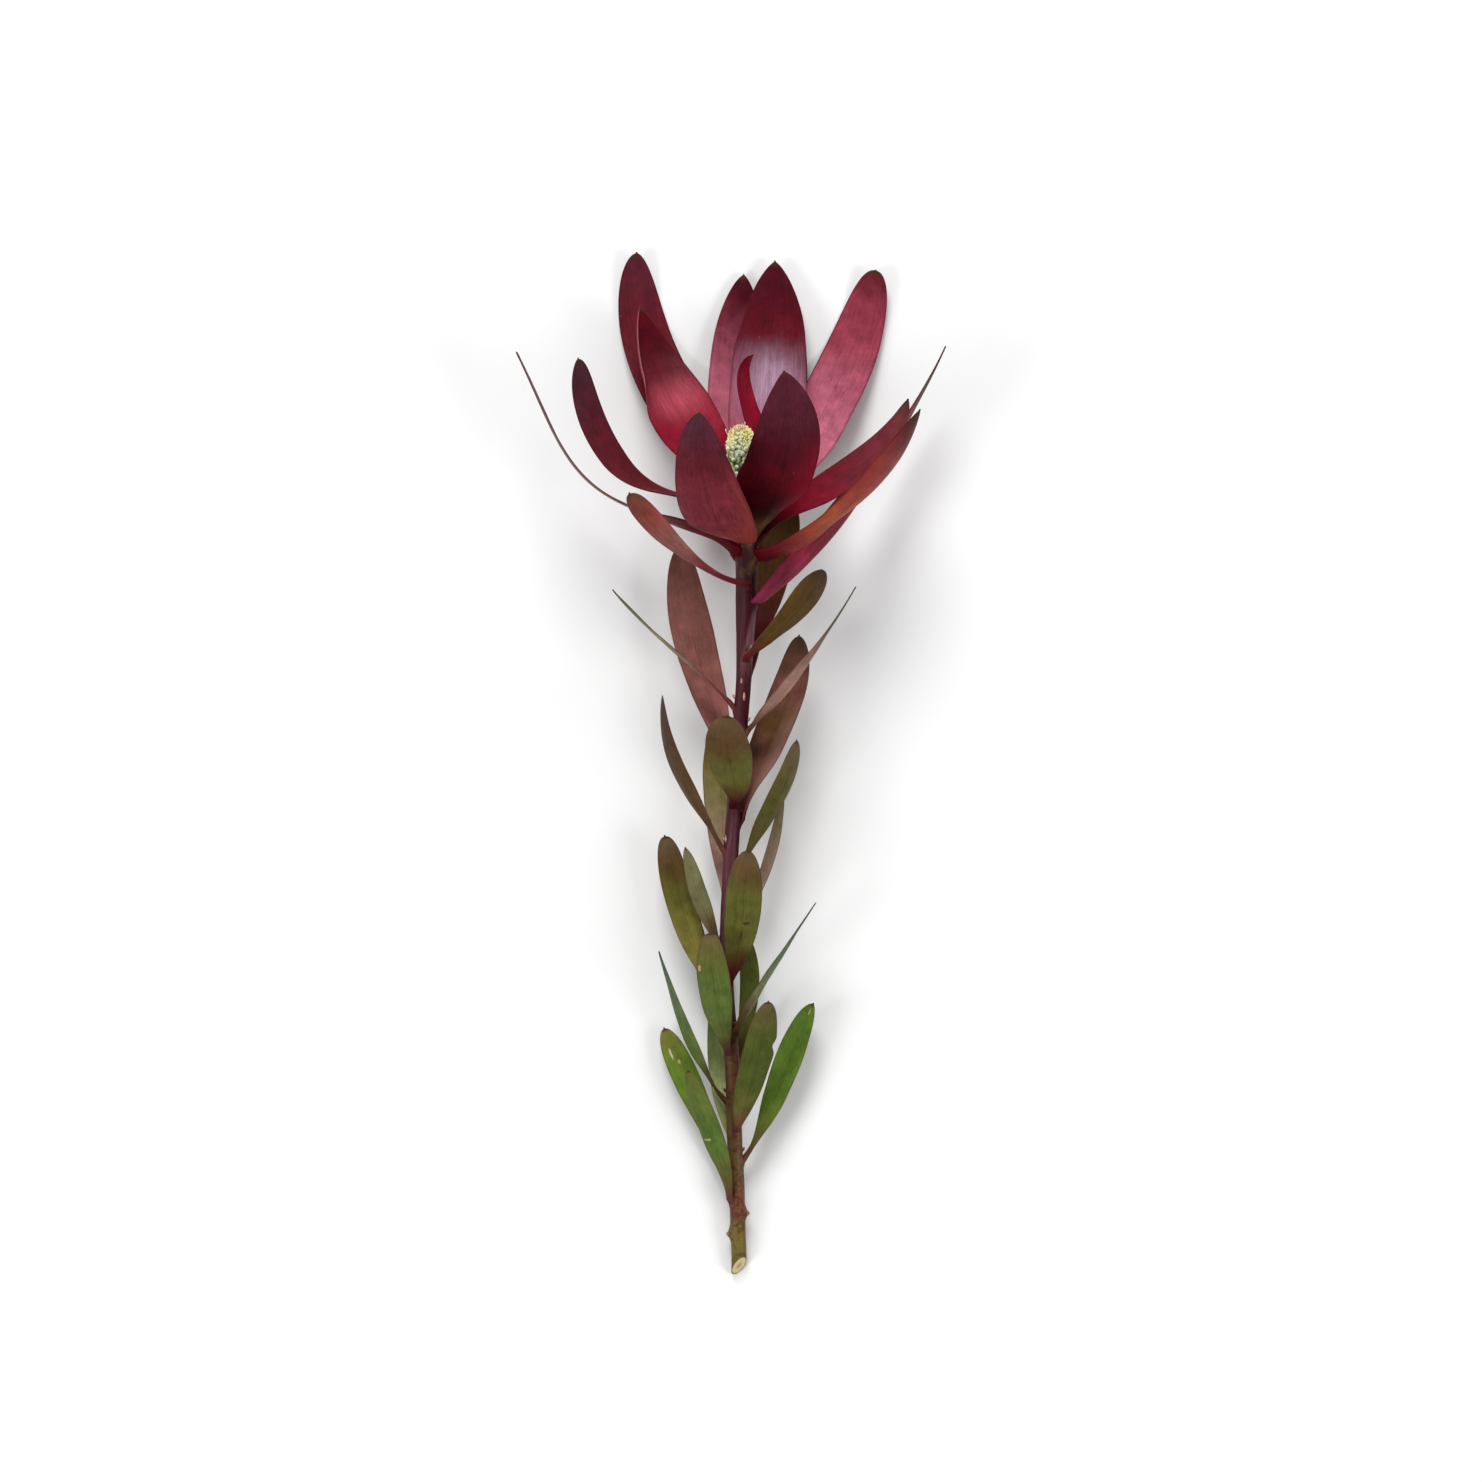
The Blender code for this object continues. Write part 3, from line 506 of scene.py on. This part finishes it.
def settle(piece, node, material):
    """Gives the piece its finish and its place among the parts. With a node, it stands for that node's solid."""
    piece.data.materials.append(material)
    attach(piece, "root")
    if node:
        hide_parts(node)


def colour(name_or_code):
    """A named tone, or a code such as #84a020, as linear red, green, blue and alpha."""
    code = PALETTE.get(name_or_code, name_or_code).lstrip("#")
    values = [int(code[i:i + 2], 16) / 255 for i in (0, 2, 4)]
    return (*[v / 12.92 if v <= 0.04045 else ((v + 0.055) / 1.055) ** 2.4 for v in values], 1.0)


def math_node(operation, swapped=False):
    """An operator of Wire, which adds one Math node."""
    def apply(self, other=0.0):
        first, second = (other, self) if swapped else (self, other)
        return self.finish.node("ShaderNodeMath", {"operation": operation}, {0: first, 1: second})
    return apply


class Wire:
    """One value inside a finish. Sums, products and powers of wires add their Math nodes."""

    __add__ = __radd__ = math_node("ADD")
    __sub__ = math_node("SUBTRACT")
    __rsub__ = math_node("SUBTRACT", swapped=True)
    __mul__ = __rmul__ = math_node("MULTIPLY")
    __truediv__ = math_node("DIVIDE")
    __pow__ = math_node("POWER")
    __abs__ = math_node("ABSOLUTE")

    def __init__(self, finish, socket):
        self.finish = finish
        self.socket = socket


class Finish:
    """A material under construction, with the few steps that all the finishes share."""

    def __init__(self, name, **fixed):
        self.material = bpy.data.materials.new(name)
        self.material.use_nodes = True
        self.nodes = self.material.node_tree.nodes
        self.links = self.material.node_tree.links
        self.shader = self.nodes["Principled BSDF"]
        self.done(**fixed)

    def put(self, node, sockets):
        """Sets each socket: a wire is linked, and a text is a tone."""
        for label, value in sockets.items():
            if isinstance(value, Wire):
                self.links.new(value.socket, node.inputs[label])
            elif isinstance(value, str):
                node.inputs[label].default_value = colour(value)
            else:
                node.inputs[label].default_value = value

    def node(self, kind, settings=None, sockets=None, out=0):
        """Any node: its settings first, then the values or links of its sockets. Gives one output."""
        made = self.nodes.new(kind)
        for label, value in (settings or {}).items():
            if label == "stops":
                stops = made.color_ramp.elements
                while len(stops) < len(value):
                    stops.new(1.0)
                for stop, (position, tone) in zip(stops, value):
                    stop.position = position
                    stop.color = colour(tone)
            elif label == "interpolation":
                made.color_ramp.interpolation = value
            else:
                setattr(made, label, value)
        self.put(made, sockets or {})
        return Wire(self, made.outputs[out])

    def smooth(self, value, low, high):
        """0 where the value is at low, 1 where it is at high, and an even curve between."""
        return self.node("ShaderNodeMapRange", {"interpolation_type": "SMOOTHSTEP"},
                         {"Value": value, "From Min": low, "From Max": high})

    def mix(self, first, second, share, blend="MIX"):
        settings = {"data_type": "RGBA", "blend_type": blend}
        return self.node("ShaderNodeMix", settings, {0: share, 6: first, 7: second}, out=2)

    def tint(self, shade, red, green, blue, share):
        """The shade times these amounts of red, green and blue, as far as the share says."""
        return self.mix(shade, (red, green, blue, 1.0), share, "MULTIPLY")

    def ramp(self, value, stops, interpolation="EASE"):
        return self.node("ShaderNodeValToRGB", {"stops": stops, "interpolation": interpolation}, {0: value})

    def grains(self, where, size, detail=2.0, rough=0.5):
        """Soft noise whose features are about this size, in the units of where."""
        return self.node("ShaderNodeTexNoise", None,
                         {"Vector": where, "Scale": 1.0 / size, "Detail": detail, "Roughness": rough})

    def cells(self, where, size, feature="DISTANCE_TO_EDGE"):
        """Distance to the edge or the middle of the nearest cell."""
        return self.node("ShaderNodeTexVoronoi", {"feature": feature}, {"Vector": where, "Scale": 1.0 / size},
                         out="Distance")

    def uv(self, name):
        return self.parts(self.node("ShaderNodeUVMap", {"uv_map": name}))

    def parts(self, vector):
        made = self.node("ShaderNodeSeparateXYZ", None, {0: vector}).socket.node
        return [Wire(self, socket) for socket in made.outputs]

    def vector(self, x, y, z):
        return self.node("ShaderNodeCombineXYZ", None, {0: x, 1: y, 2: z})

    def millimetres(self):
        """The place on the object, in millimetres."""
        place = self.node("ShaderNodeTexCoord", None, None, out="Object")
        return self.node("ShaderNodeVectorMath", {"operation": "SCALE"}, {0: place, "Scale": 1 / MM})

    def relief(self, height, strength, distance):
        return self.node("ShaderNodeBump", None, {"Height": height, "Strength": strength, "Distance": distance})

    def done(self, **sockets):
        self.put(self.shader, {label.replace("_", " "): value for label, value in sockets.items()})
        return self.material


def even_stops(tones):
    return [(TONES_FROM + (TONES_TO - TONES_FROM) * i / (len(tones) - 1), tone) for i, tone in enumerate(tones)]


def blade_finish(name, length):
    """Leathery skin: tones from foot to tip, long veins, mottling, a dark rim, tip point and scars."""
    blade = BLADES[name]
    is_bract = name.startswith("bract")
    half = blade["width"] / 2
    skin = Finish(name + "_skin", Specular_IOR_Level=0.06)
    x, y, _ = skin.uv("blade")
    inner = skin.uv("face")[0]
    across = (x * 2 - 1) * (-1 if blade["shows"] == "outer" else 1)
    where = skin.millimetres()
    layer = inner * 37.0
    drawn = skin.vector(across * half, y * (length * 0.05), layer)
    fine_drawn = skin.vector(across * (half * 2.6), y * (length * 0.12), layer)
    patches = skin.grains(where, 9.0, 3.0)
    speck = skin.grains(where, 0.7, 2.0, 0.6)
    streak = skin.grains(drawn, 1.5, 3.0, 0.6)
    fine_streak = skin.grains(fine_drawn, 1.3, 2.0, 0.6)
    vein = (1 - skin.smooth(abs(streak - 0.5), 0.0, 0.03)) * blade.get("veins", 1.0)
    second_vein = 1 - skin.smooth(abs(fine_streak - 0.5), 0.0, 0.03)
    midrib_line = (1 - skin.smooth(abs(across), 0.0, 0.07)) * skin.smooth(1.0 - y, 0.05, 0.5)

    moved = y + (patches - 0.5) * 0.22 + (streak - 0.5) * 0.05
    shade = skin.ramp(moved, even_stops(blade["tones"]), "B_SPLINE")
    broad = skin.grains(where, 5.0, 2.0)
    shade = skin.tint(shade, 1.4, 1.32, 1.25, skin.smooth(broad, 0.5, 0.72) * 0.55)
    shade = skin.tint(shade, 0.68, 0.66, 0.66, skin.smooth(broad, 0.5, 0.3) * 0.5)
    if "flank" in blade:
        tone, side, reach = blade["flank"]
        shade = skin.mix(shade, tone, skin.smooth(across * side, 0.9 - 1.5 * reach, 1.1)
                         * skin.smooth(1 - y, 0.25, 0.6) * skin.smooth(y, 0.02, 0.2) * 0.9)
    # Painted highlight: a pale streaky band across the inner face of the blade.
    if "sheen" in blade:
        centre, reach, tone, middle = blade["sheen"]
        highlight_band = 1 - skin.smooth(abs(y + (patches - 0.5) * 0.06 - centre), 0.0, reach)
        highlight_band = highlight_band * (1 - skin.smooth(abs(across - middle), 0.1, 1.1) * 0.75)
        shade = skin.mix(shade, tone, highlight_band * (fine_streak * 0.9 + streak * 0.5 + 0.15) * inner)
    shown = inner if blade["shows"] == "inner" else 1 - inner
    backing = "olive_brown"
    if is_bract:
        backing = "rust" if blade["shows"] == "inner" else "deep_crimson"
    shade = skin.mix(shade, backing, (1 - shown) * 0.35)
    shade = skin.tint(shade, 0.62, 0.55, 0.55, vein * 0.5 + second_vein * 0.25 + midrib_line * 0.4)
    shade = skin.tint(shade, 1.25, 1.22, 1.2, skin.smooth(fine_streak, 0.52, 0.8) * 0.5)
    shade = skin.tint(shade, 0.72, 0.68, 0.66, skin.smooth(speck, 0.52, 0.75) * 0.5)
    dots = 1 - skin.smooth(skin.cells(where, 4.3, "F1") + (speck - 0.5) * 0.1, 0.015, 0.05)
    shade = skin.mix(shade, (0.62, 0.5, 0.48, 1), dots * skin.smooth(patches, 0.45, 0.6) * 0.45)

    near_rim = skin.smooth(abs(across) * half, half * 0.93 - 0.35, half)
    shade = skin.mix(shade, "maroon" if is_bract else "bronze", near_rim * 0.55)
    if "rim" in blade:
        tone, side = blade["rim"]
        shade = skin.mix(shade, tone, skin.smooth(across * side, 0.9, 0.98) * skin.smooth(y, 0.5, 0.7) * 0.8)
    point = skin.smooth(y, 0.975, 0.995)
    shade = skin.mix(shade, "umber", point * 0.85)
    for mark_across, mark_along, mark_length, breadth, tone in blade.get("marks", ()):
        dx = (across * half - mark_across * half + (speck - 0.5) * 1.2) / (breadth / 2)
        dy = (y * length - mark_along * length + (speck - 0.5) * 1.2) / (mark_length / 2)
        scar = 1 - skin.smooth(dx * dx + dy * dy, 0.5, 1.2)
        shade = skin.mix(shade, tone, scar * shown * 0.9)

    gloss = (0.46 if is_bract else 0.52) - inner * 0.08 + (speck - 0.5) * 0.25 + point * 0.2
    crinkle = skin.cells(skin.vector(across * half, y * (length * 0.5), layer), 0.9)
    height = second_vein * 0.35 + vein * 0.5 + speck * 0.5 + skin.smooth(crinkle, 0.0, 0.25) * 0.35
    return skin.done(Base_Color=shade, Roughness=gloss, Normal=skin.relief(height, 0.35, 0.0002))


def bark_finish():
    """Young bark: olive at the cut, reddish brown, then dark maroon, with pale streaks and a bruise low down."""
    bark = Finish("young_bark", Specular_IOR_Level=0.2)
    where = bark.millimetres()
    y = bark.parts(where)[1]
    height = y + BASE_MIDDLE[1]
    upper, right, _ = bark.uv("face")
    streak = bark.grains(bark.vector(upper * 4.5, y * 0.06, right * 4.5), 1.1, 3.0, 0.6)
    patches = bark.grains(where, 7.0, 3.0)
    speck = bark.grains(where, 0.6, 2.0)
    share = height / 293 + (patches - 0.5) * 0.08
    shade = bark.ramp(share, BARK_TONES)
    shade = bark.tint(shade, 1.45, 1.4, 1.35, bark.smooth(streak, 0.5, 0.72))
    shade = bark.tint(shade, 0.5, 0.45, 0.45, bark.smooth(speck, 0.5, 0.75) * 0.6)
    blotch = bark.smooth(bark.grains(where, 3.0, 3.0), 0.52, 0.62) * (1 - bark.smooth(height, 90.0, 120.0))
    shade = bark.mix(shade, "#4a2016", blotch * 0.6)
    red_dots = bark.smooth(bark.grains(where, 1.3, 2.0), 0.52, 0.6) * bark.smooth(height, 14.0, 22.0)
    shade = bark.mix(shade, "#461410", red_dots * (1 - bark.smooth(height, 30.0, 60.0)) * 0.7)
    bruise = bark.smooth(patches, 0.4, 0.6) * (1 - bark.smooth(height, 3.0, 6.5))
    shade = bark.mix(shade, "#4c3618", bruise * 0.8)
    pale = bark.smooth(streak, 0.6, 0.74) * bark.smooth(patches, 0.42, 0.58) * bark.smooth(height, 95.0, 150.0)
    shade = bark.mix(shade, "#a4787e", pale * 0.4)
    # Painted highlight: a pale lilac stripe on the right side of the stem, about 226 to 256 mm up.
    painted_stem_highlight = bark.smooth(right - (height - 244.0) * 0.06, 0.0, 0.5) * bark.smooth(height, 226.0, 238.0)
    painted_stem_highlight = painted_stem_highlight * (1 - bark.smooth(height, 248.0, 256.0)) * bark.smooth(streak, 0.3, 0.6)
    shade = bark.mix(shade, "#98666e", painted_stem_highlight * 0.65)
    olive = bark.smooth(patches, 0.45, 0.65) * bark.smooth(height, 262.0, 274.0)
    shade = bark.mix(shade, "#6e5a2a", olive * 0.8)
    relief = bark.relief(streak * 0.8 + speck * 0.4, 0.5, 0.0004)
    return bark.done(Base_Color=shade, Roughness=0.5 + (speck - 0.5) * 0.2, Normal=relief)


def cut_wood_finish():
    """The slanted cut: bark, a thin olive line, cream wood with rays, and the darker pith."""
    wood = Finish("cut_wood", Specular_IOR_Level=0.3)
    where = wood.millimetres()
    x, y, z = wood.parts(where)
    centre = stem_middle(0) - np.array(BASE_MIDDLE)
    side = x - float(centre[0])
    lift = z - float(centre[2]) - (y - float(centre[1])) * STEM_RISE
    out = (side * side + lift * lift) ** 0.5 / STEM_RADIUS[0]
    speck = wood.grains(where, 0.35, 2.0)
    drawn = wood.grains(wood.vector(x, y * 0.3, z), 0.5, 2.0)
    shade = wood.ramp(out + (speck - 0.5) * 0.12, CUT_TONES)
    shade = wood.tint(shade, 0.75, 0.7, 0.62, wood.smooth(drawn, 0.5, 0.8) * 0.8)
    return wood.done(Base_Color=shade, Roughness=0.75, Normal=wood.relief(drawn + speck, 0.4, 0.0003))


def floret_finish():
    """Green florets with white tips low on the cone, pale yellow ones on its dome, dark green painted shade between.
    """
    floret = Finish("florets", Specular_IOR_Level=0.2)
    y = floret.uv("blade")[1]
    level = floret.uv("face")[0]
    where = floret.millimetres()
    speck = floret.grains(where, 0.5, 2.0)
    lumps = floret.grains(where, 2.2, 2.0)
    core = 1 - floret.smooth(level, -0.5, 0.0)
    level = level + core * (y + 1)
    on_dome = floret.smooth(level, 0.7, 0.84)
    base = floret.ramp(level, FLORET_TONES)
    # Dark green painted shade in the gaps: on the core and at each floret's foot.
    deep = floret.ramp(level, GAP_SHADE_TONES)
    shade = floret.mix(deep, base, floret.smooth(y + (speck - 0.5) * 0.6, 0.15, 0.5) * (1 - core))
    pale_tip = floret.smooth(y, 0.4, 0.8) * floret.smooth(lumps, 0.42, 0.56)
    pale_tip = pale_tip * (1 - on_dome) * floret.smooth(level, 0.2, 0.45)
    shade = floret.mix(shade, "#f0efdc", pale_tip * 0.85)
    shade = floret.mix(shade, "#486020", floret.smooth(lumps, 0.44, 0.32) * (1 - on_dome) * 0.7)
    yellow = floret.smooth(floret.grains(where, 4.0, 1.0), 0.5, 0.62) * on_dome
    shade = floret.mix(shade, "#dccb58", yellow * 0.7)
    return floret.done(Base_Color=shade, Roughness=0.6, Normal=floret.relief(speck, 0.3, 0.0002))


def plain_finish(name, rough, first, second):
    """A small piece's finish: one tone with a mottle of a second one."""
    plain = Finish(name, Specular_IOR_Level=0.4)
    patches = plain.grains(plain.millimetres(), 0.8, 2.0)
    shade = plain.mix(first, second, plain.smooth(patches, 0.35, 0.65))
    return plain.done(Base_Color=shade, Roughness=rough, Normal=plain.relief(patches, 0.3, 0.0002))


def round_rings(centres, radii, across_axis, up_axis, round_count=14):
    """Rings of points of a bent round piece: middles, radii, and two directions that span each ring."""
    turn = np.linspace(0, 2 * math.pi, round_count, endpoint=False)
    ring = np.cos(turn)[:, None] * across_axis + np.sin(turn)[:, None] * up_axis
    return np.array([centre + radius * ring for centre, radius in zip(centres, radii)])


def axes_about(direction):
    direction = unit(np.asarray(direction, float))
    helper = np.array((0.0, 0.0, 1.0)) if abs(direction[2]) < 0.9 else np.array((1.0, 0.0, 0.0))
    across_axis = unit(np.cross(direction, helper))
    return direction, across_axis, np.cross(across_axis, direction)


def bud_rings(base, direction, length, width, round_count=12, steps=9, bend=(0, 0, 0)):
    """A pointed ovoid from a base point along a direction."""
    direction, across_axis, up_axis = axes_about(direction)
    share = np.linspace(0, 1, steps)
    radius = width / 2 * np.sin(math.pi * np.clip(share * 0.9 + 0.08, 0, 1)) ** 0.7 * (1 - 0.35 * share)
    centres = base + share[:, None] * direction * length + (share ** 2)[:, None] * bend
    return round_rings(centres, radius, across_axis, up_axis, round_count)


def joined(name, ring_sets, levels=None):
    """One object of many small closed pieces, each given as rings of points."""
    pieces = []
    for index, rings in enumerate(ring_sets):
        round_count = rings.shape[1]
        piece = ring_mesh("%s_%03d" % (name, index), rings, np.zeros(round_count), np.linspace(0, 1, len(rings)))
        if levels is not None:
            for item in piece.data.uv_layers["face"].data:
                item.uv = (levels[index], 0.0)
        pieces.append(piece)
    with bpy.context.temp_override(active_object=pieces[0], selected_editable_objects=pieces, object=pieces[0]):
        bpy.ops.object.join()
    pieces[0].name = name
    pieces[0].data.name = name
    return pieces[0]


def make_stem():
    """The stem with its cushions and ridges, cut at a slant. Its UV map "face" holds the turn round it."""
    top = STEM_HEIGHTS[-1]
    heights = np.arange(BELOW_CUT, top + 0.1, STEM_STEP)
    sides = np.linspace(0, 360, STEM_SIDES, endpoint=False)
    turns = [math.radians(side) for side in sides]
    level, side = np.meshgrid(heights, sides, indexing="ij")
    radius = stem_radius(level) + swelling(level, side, RIDGE_STANDS)
    ripple = np.array([[noise.noise(Vector((math.cos(turn) * 1.6, math.sin(turn) * 1.6, height * 0.06)))
                        for turn in turns] for height in heights])
    radius = radius + ripple * STEM_RIPPLE * ease((top - level) / 10)
    rings = stem_middle(level) + radius[..., None] * outward(side)
    dome = [stem_middle(top) + (rings[-1] - stem_middle(top)) * size + STEM_AXIS * rise for size, rise in STEM_DOME]
    rings = np.concatenate([rings, dome])
    stem = ring_mesh("woody_stem", rings, np.zeros(len(sides)), np.linspace(0, 1, len(rings)))
    for loop in stem.data.loops:
        row, column = divmod(loop.vertex_index, len(sides))
        if row < len(rings):
            stem.data.uv_layers["face"].data[loop.index].uv = (math.cos(turns[column]), math.sin(turns[column]))
    settle(stem, "stem", bark_finish())
    stem.data.materials.append(cut_wood_finish())
    bm = bmesh.new()
    bm.from_mesh(stem.data)
    point = [(value - middle) * MM for value, middle in zip(CUT_POINT, BASE_MIDDLE)]
    cut = bmesh.ops.bisect_plane(bm, geom=bm.verts[:] + bm.edges[:] + bm.faces[:], dist=1e-7,
                                 plane_co=point, plane_no=CUT_FACING, clear_outer=True)
    rim = [item for item in cut["geom_cut"] if isinstance(item, bmesh.types.BMEdge)]
    for face in bmesh.ops.contextual_create(bm, geom=rim)["faces"]:
        face.material_index = 1
        face.smooth = False
    bm.to_mesh(stem.data)
    bm.free()


def cone_point(share, turn, lift=0.0):
    """A point of the cone's surface, its outward direction and its forward axis."""
    forward, across_axis, up_axis = axes_about(CONE_AXIS)
    z = 2 * share - 1
    if z < 0:
        girth = (1 - abs(z) ** CONE_BLUNTNESS) ** (1 / CONE_BLUNTNESS)
    else:
        girth = math.sqrt(1 - max(0.0, 1 - (1 - share) * CONE_LENGTH / CONE_RADIUS) ** 2)
    out = math.cos(turn) * across_axis + math.sin(turn) * up_axis
    middle = np.array(CONE_START) + forward * CONE_LENGTH * share
    return middle + out * (girth * (CONE_RADIUS - CORE_INSIDE) + lift), out, forward


def make_cone():
    """A dark core, florets set round it in a spiral, and the thin styles on its dome."""
    shares = np.sin(np.linspace(-math.pi / 2, math.pi / 2, 40)) / 2 + 0.5
    turns = np.linspace(0, 2 * math.pi, 48, endpoint=False)
    core = np.array([[cone_point(share, turn, -0.35)[0] for turn in turns] for share in shares[1:-2]])
    ring_sets = [core]
    levels = [-1.0]
    for count, low, high, breadth, lift in FLORET_ZONES:
        for i in range(count):
            jitter = [noise.noise(Vector((i * 0.71, seed, count))) for seed in (3.0, 5.0, 8.0, 11.0)]
            share = min(0.995, low + (high - low) * (i + 0.5) / count + 0.05 * jitter[2])
            turn = i * GOLDEN_TURN + 0.5 * jitter[0]
            base, out, forward = cone_point(share, turn, lift + 0.4 * jitter[1] * breadth)
            around = np.cross(forward, out)
            lean = ease((share - 0.75) / 0.25)
            direction = unit(out * (1 - 0.7 * lean) + forward * (0.35 + lean) + around * jitter[2] * 1.4)
            width = breadth * (1 + 0.6 * jitter[3])
            ring_sets.append(bud_rings(base, direction, width * 0.85, width, 8, 7, bend=forward * 0.3))
            levels.append(share)
    cone = joined("cone_of_florets", ring_sets, levels)
    settle(cone, "cone", floret_finish())
    styles = []
    for i in range(STYLES):
        share = 0.76 + 0.22 * ((i * 0.618) % 1)
        base, out, forward = cone_point(share, i * GOLDEN_TURN + 0.8)
        sway = [noise.noise(Vector((i * 0.9, seed, 0.0))) for seed in (7.0, 12.0)]
        around = np.cross(forward, out)
        lean = ease((share - 0.75) / 0.25)
        direction, across_axis, up_axis = axes_about(out * (1 + sway[0] - 0.3 * lean) + forward * (0.6 + 0.8 * lean)
                                                     + around * sway[1] * 1.2)
        part = np.linspace(0, 1, 8)
        centres = base + part[:, None] * direction * (2.7 + 1.6 * sway[0])
        centres = centres + (part ** 2)[:, None] * (forward - out) * 0.6
        radii = np.array([0.24, 0.2, 0.18, 0.17, 0.17, 0.24, 0.3, 0.12])
        styles.append(round_rings(centres, radii, across_axis, up_axis, 7))
    styles = joined("cone_styles", styles)
    settle(styles, None, plain_finish("styles", 0.5, "#e6d6b0", "#cc9488"))


def make_buds():
    """Buds in the leaf axils, pale where the photo shows pale scars, pale scales, and two snapped leaf stalks."""
    brown, pale = [], []
    for name, blade in LEAVES.items():
        height = blade["height"] + 2.4
        out = outward(blade["side"])
        base = stem_middle(height) + out * (stem_radius(height) - 0.35)
        rings = bud_rings(base, out * 0.75 + STEM_AXIS, 2.1, 1.35)
        (pale if name in PALE_BUDS else brown).append(rings)
    settle(joined("axil_buds", brown), None, plain_finish("bud_scales", 0.5, "#6a3c34", "#4c1c24"))
    settle(joined("pale_axil_buds", pale), None, plain_finish("pale_bud_scales", 0.55, "#c8a890", "#9c6c5c"))
    scales = []
    for height, side, length, width in AXIL_SCALES:
        out = outward(side)
        base = stem_middle(height) + out * (stem_radius(height) - 0.35)
        scales.append(bud_rings(base, STEM_AXIS + out * 0.1, length, width))
    settle(joined("axil_scales", scales), None, plain_finish("scale_cream", 0.55, "#ceb08c", "#a47c6c"))
    stalks = []
    for height, side in SNAPPED_STALKS:
        out = outward(side)
        direction, across_axis, up_axis = axes_about(out + STEM_AXIS * 0.7)
        base = stem_middle(height) + out * (stem_radius(height) + 0.2)
        centres = base + np.linspace(0, 1.5, 6)[:, None] * direction
        stalks.append(round_rings(centres, (1.1, 1.05, 0.95, 0.95, 0.9, 0.6), across_axis, up_axis))
    settle(joined("snapped_leaf_stalks", stalks), None, plain_finish("snapped_stalks", 0.7, "#8a7444", "#5c4a2c"))


def make_blades():
    for name in BLADES:
        rings, across, places, length = blade_rings(name)
        piece = ring_mesh(name + "_blade", rings, across, places, KINDS[name.split("_")[0]]["columns"])
        settle(piece, name, blade_finish(name, length))


def make_floor():
    mesh = bpy.data.meshes.new("table")
    corners = [(x * TABLE_HALF, y * TABLE_HALF, 0) for x, y in ((-1, -1), (1, -1), (1, 1), (-1, 1))]
    mesh.from_pydata(corners, [], [(0, 1, 2, 3)])
    floor = bpy.data.objects.new("table", mesh)
    bpy.context.scene.collection.objects.link(floor)
    white = Finish("table_white", Specular_IOR_Level=0.1)
    mesh.materials.append(white.done(Base_Color=(0.86, 0.86, 0.86, 1.0), Roughness=0.9))


def add_light(name, place, target, power):
    lamp = bpy.data.lights.new(name, "AREA")
    lamp.shape = "DISK"
    lamp.size = LIGHT_SIZE
    lamp.energy = power
    light = bpy.data.objects.new(name, lamp)
    light.location = place
    light.rotation_euler = (Vector(target) - Vector(place)).to_track_quat("-Z", "Y").to_euler()
    bpy.context.scene.collection.objects.link(light)


def make_light_and_camera():
    bpy.context.scene.view_settings.view_transform = "Standard"
    world = bpy.data.worlds.new("soft_room")
    bpy.context.scene.world = world
    world.use_nodes = True
    world.node_tree.nodes["Background"].inputs["Color"].default_value = (1, 1, 1, 1)
    world.node_tree.nodes["Background"].inputs["Strength"].default_value = 0.4
    for light in LIGHTS:
        add_light(*light)
    view = bpy.data.cameras.new("photo_view")
    view.sensor_width = CAMERA_SENSOR
    view.lens = CAMERA_LENS
    camera = bpy.data.objects.new("photo_view", view)
    camera.location = CAMERA_PLACE
    bpy.context.scene.collection.objects.link(camera)
    bpy.context.scene.camera = camera


make_stem()
make_cone()
make_buds()
make_blades()
make_floor()
make_light_and_camera()
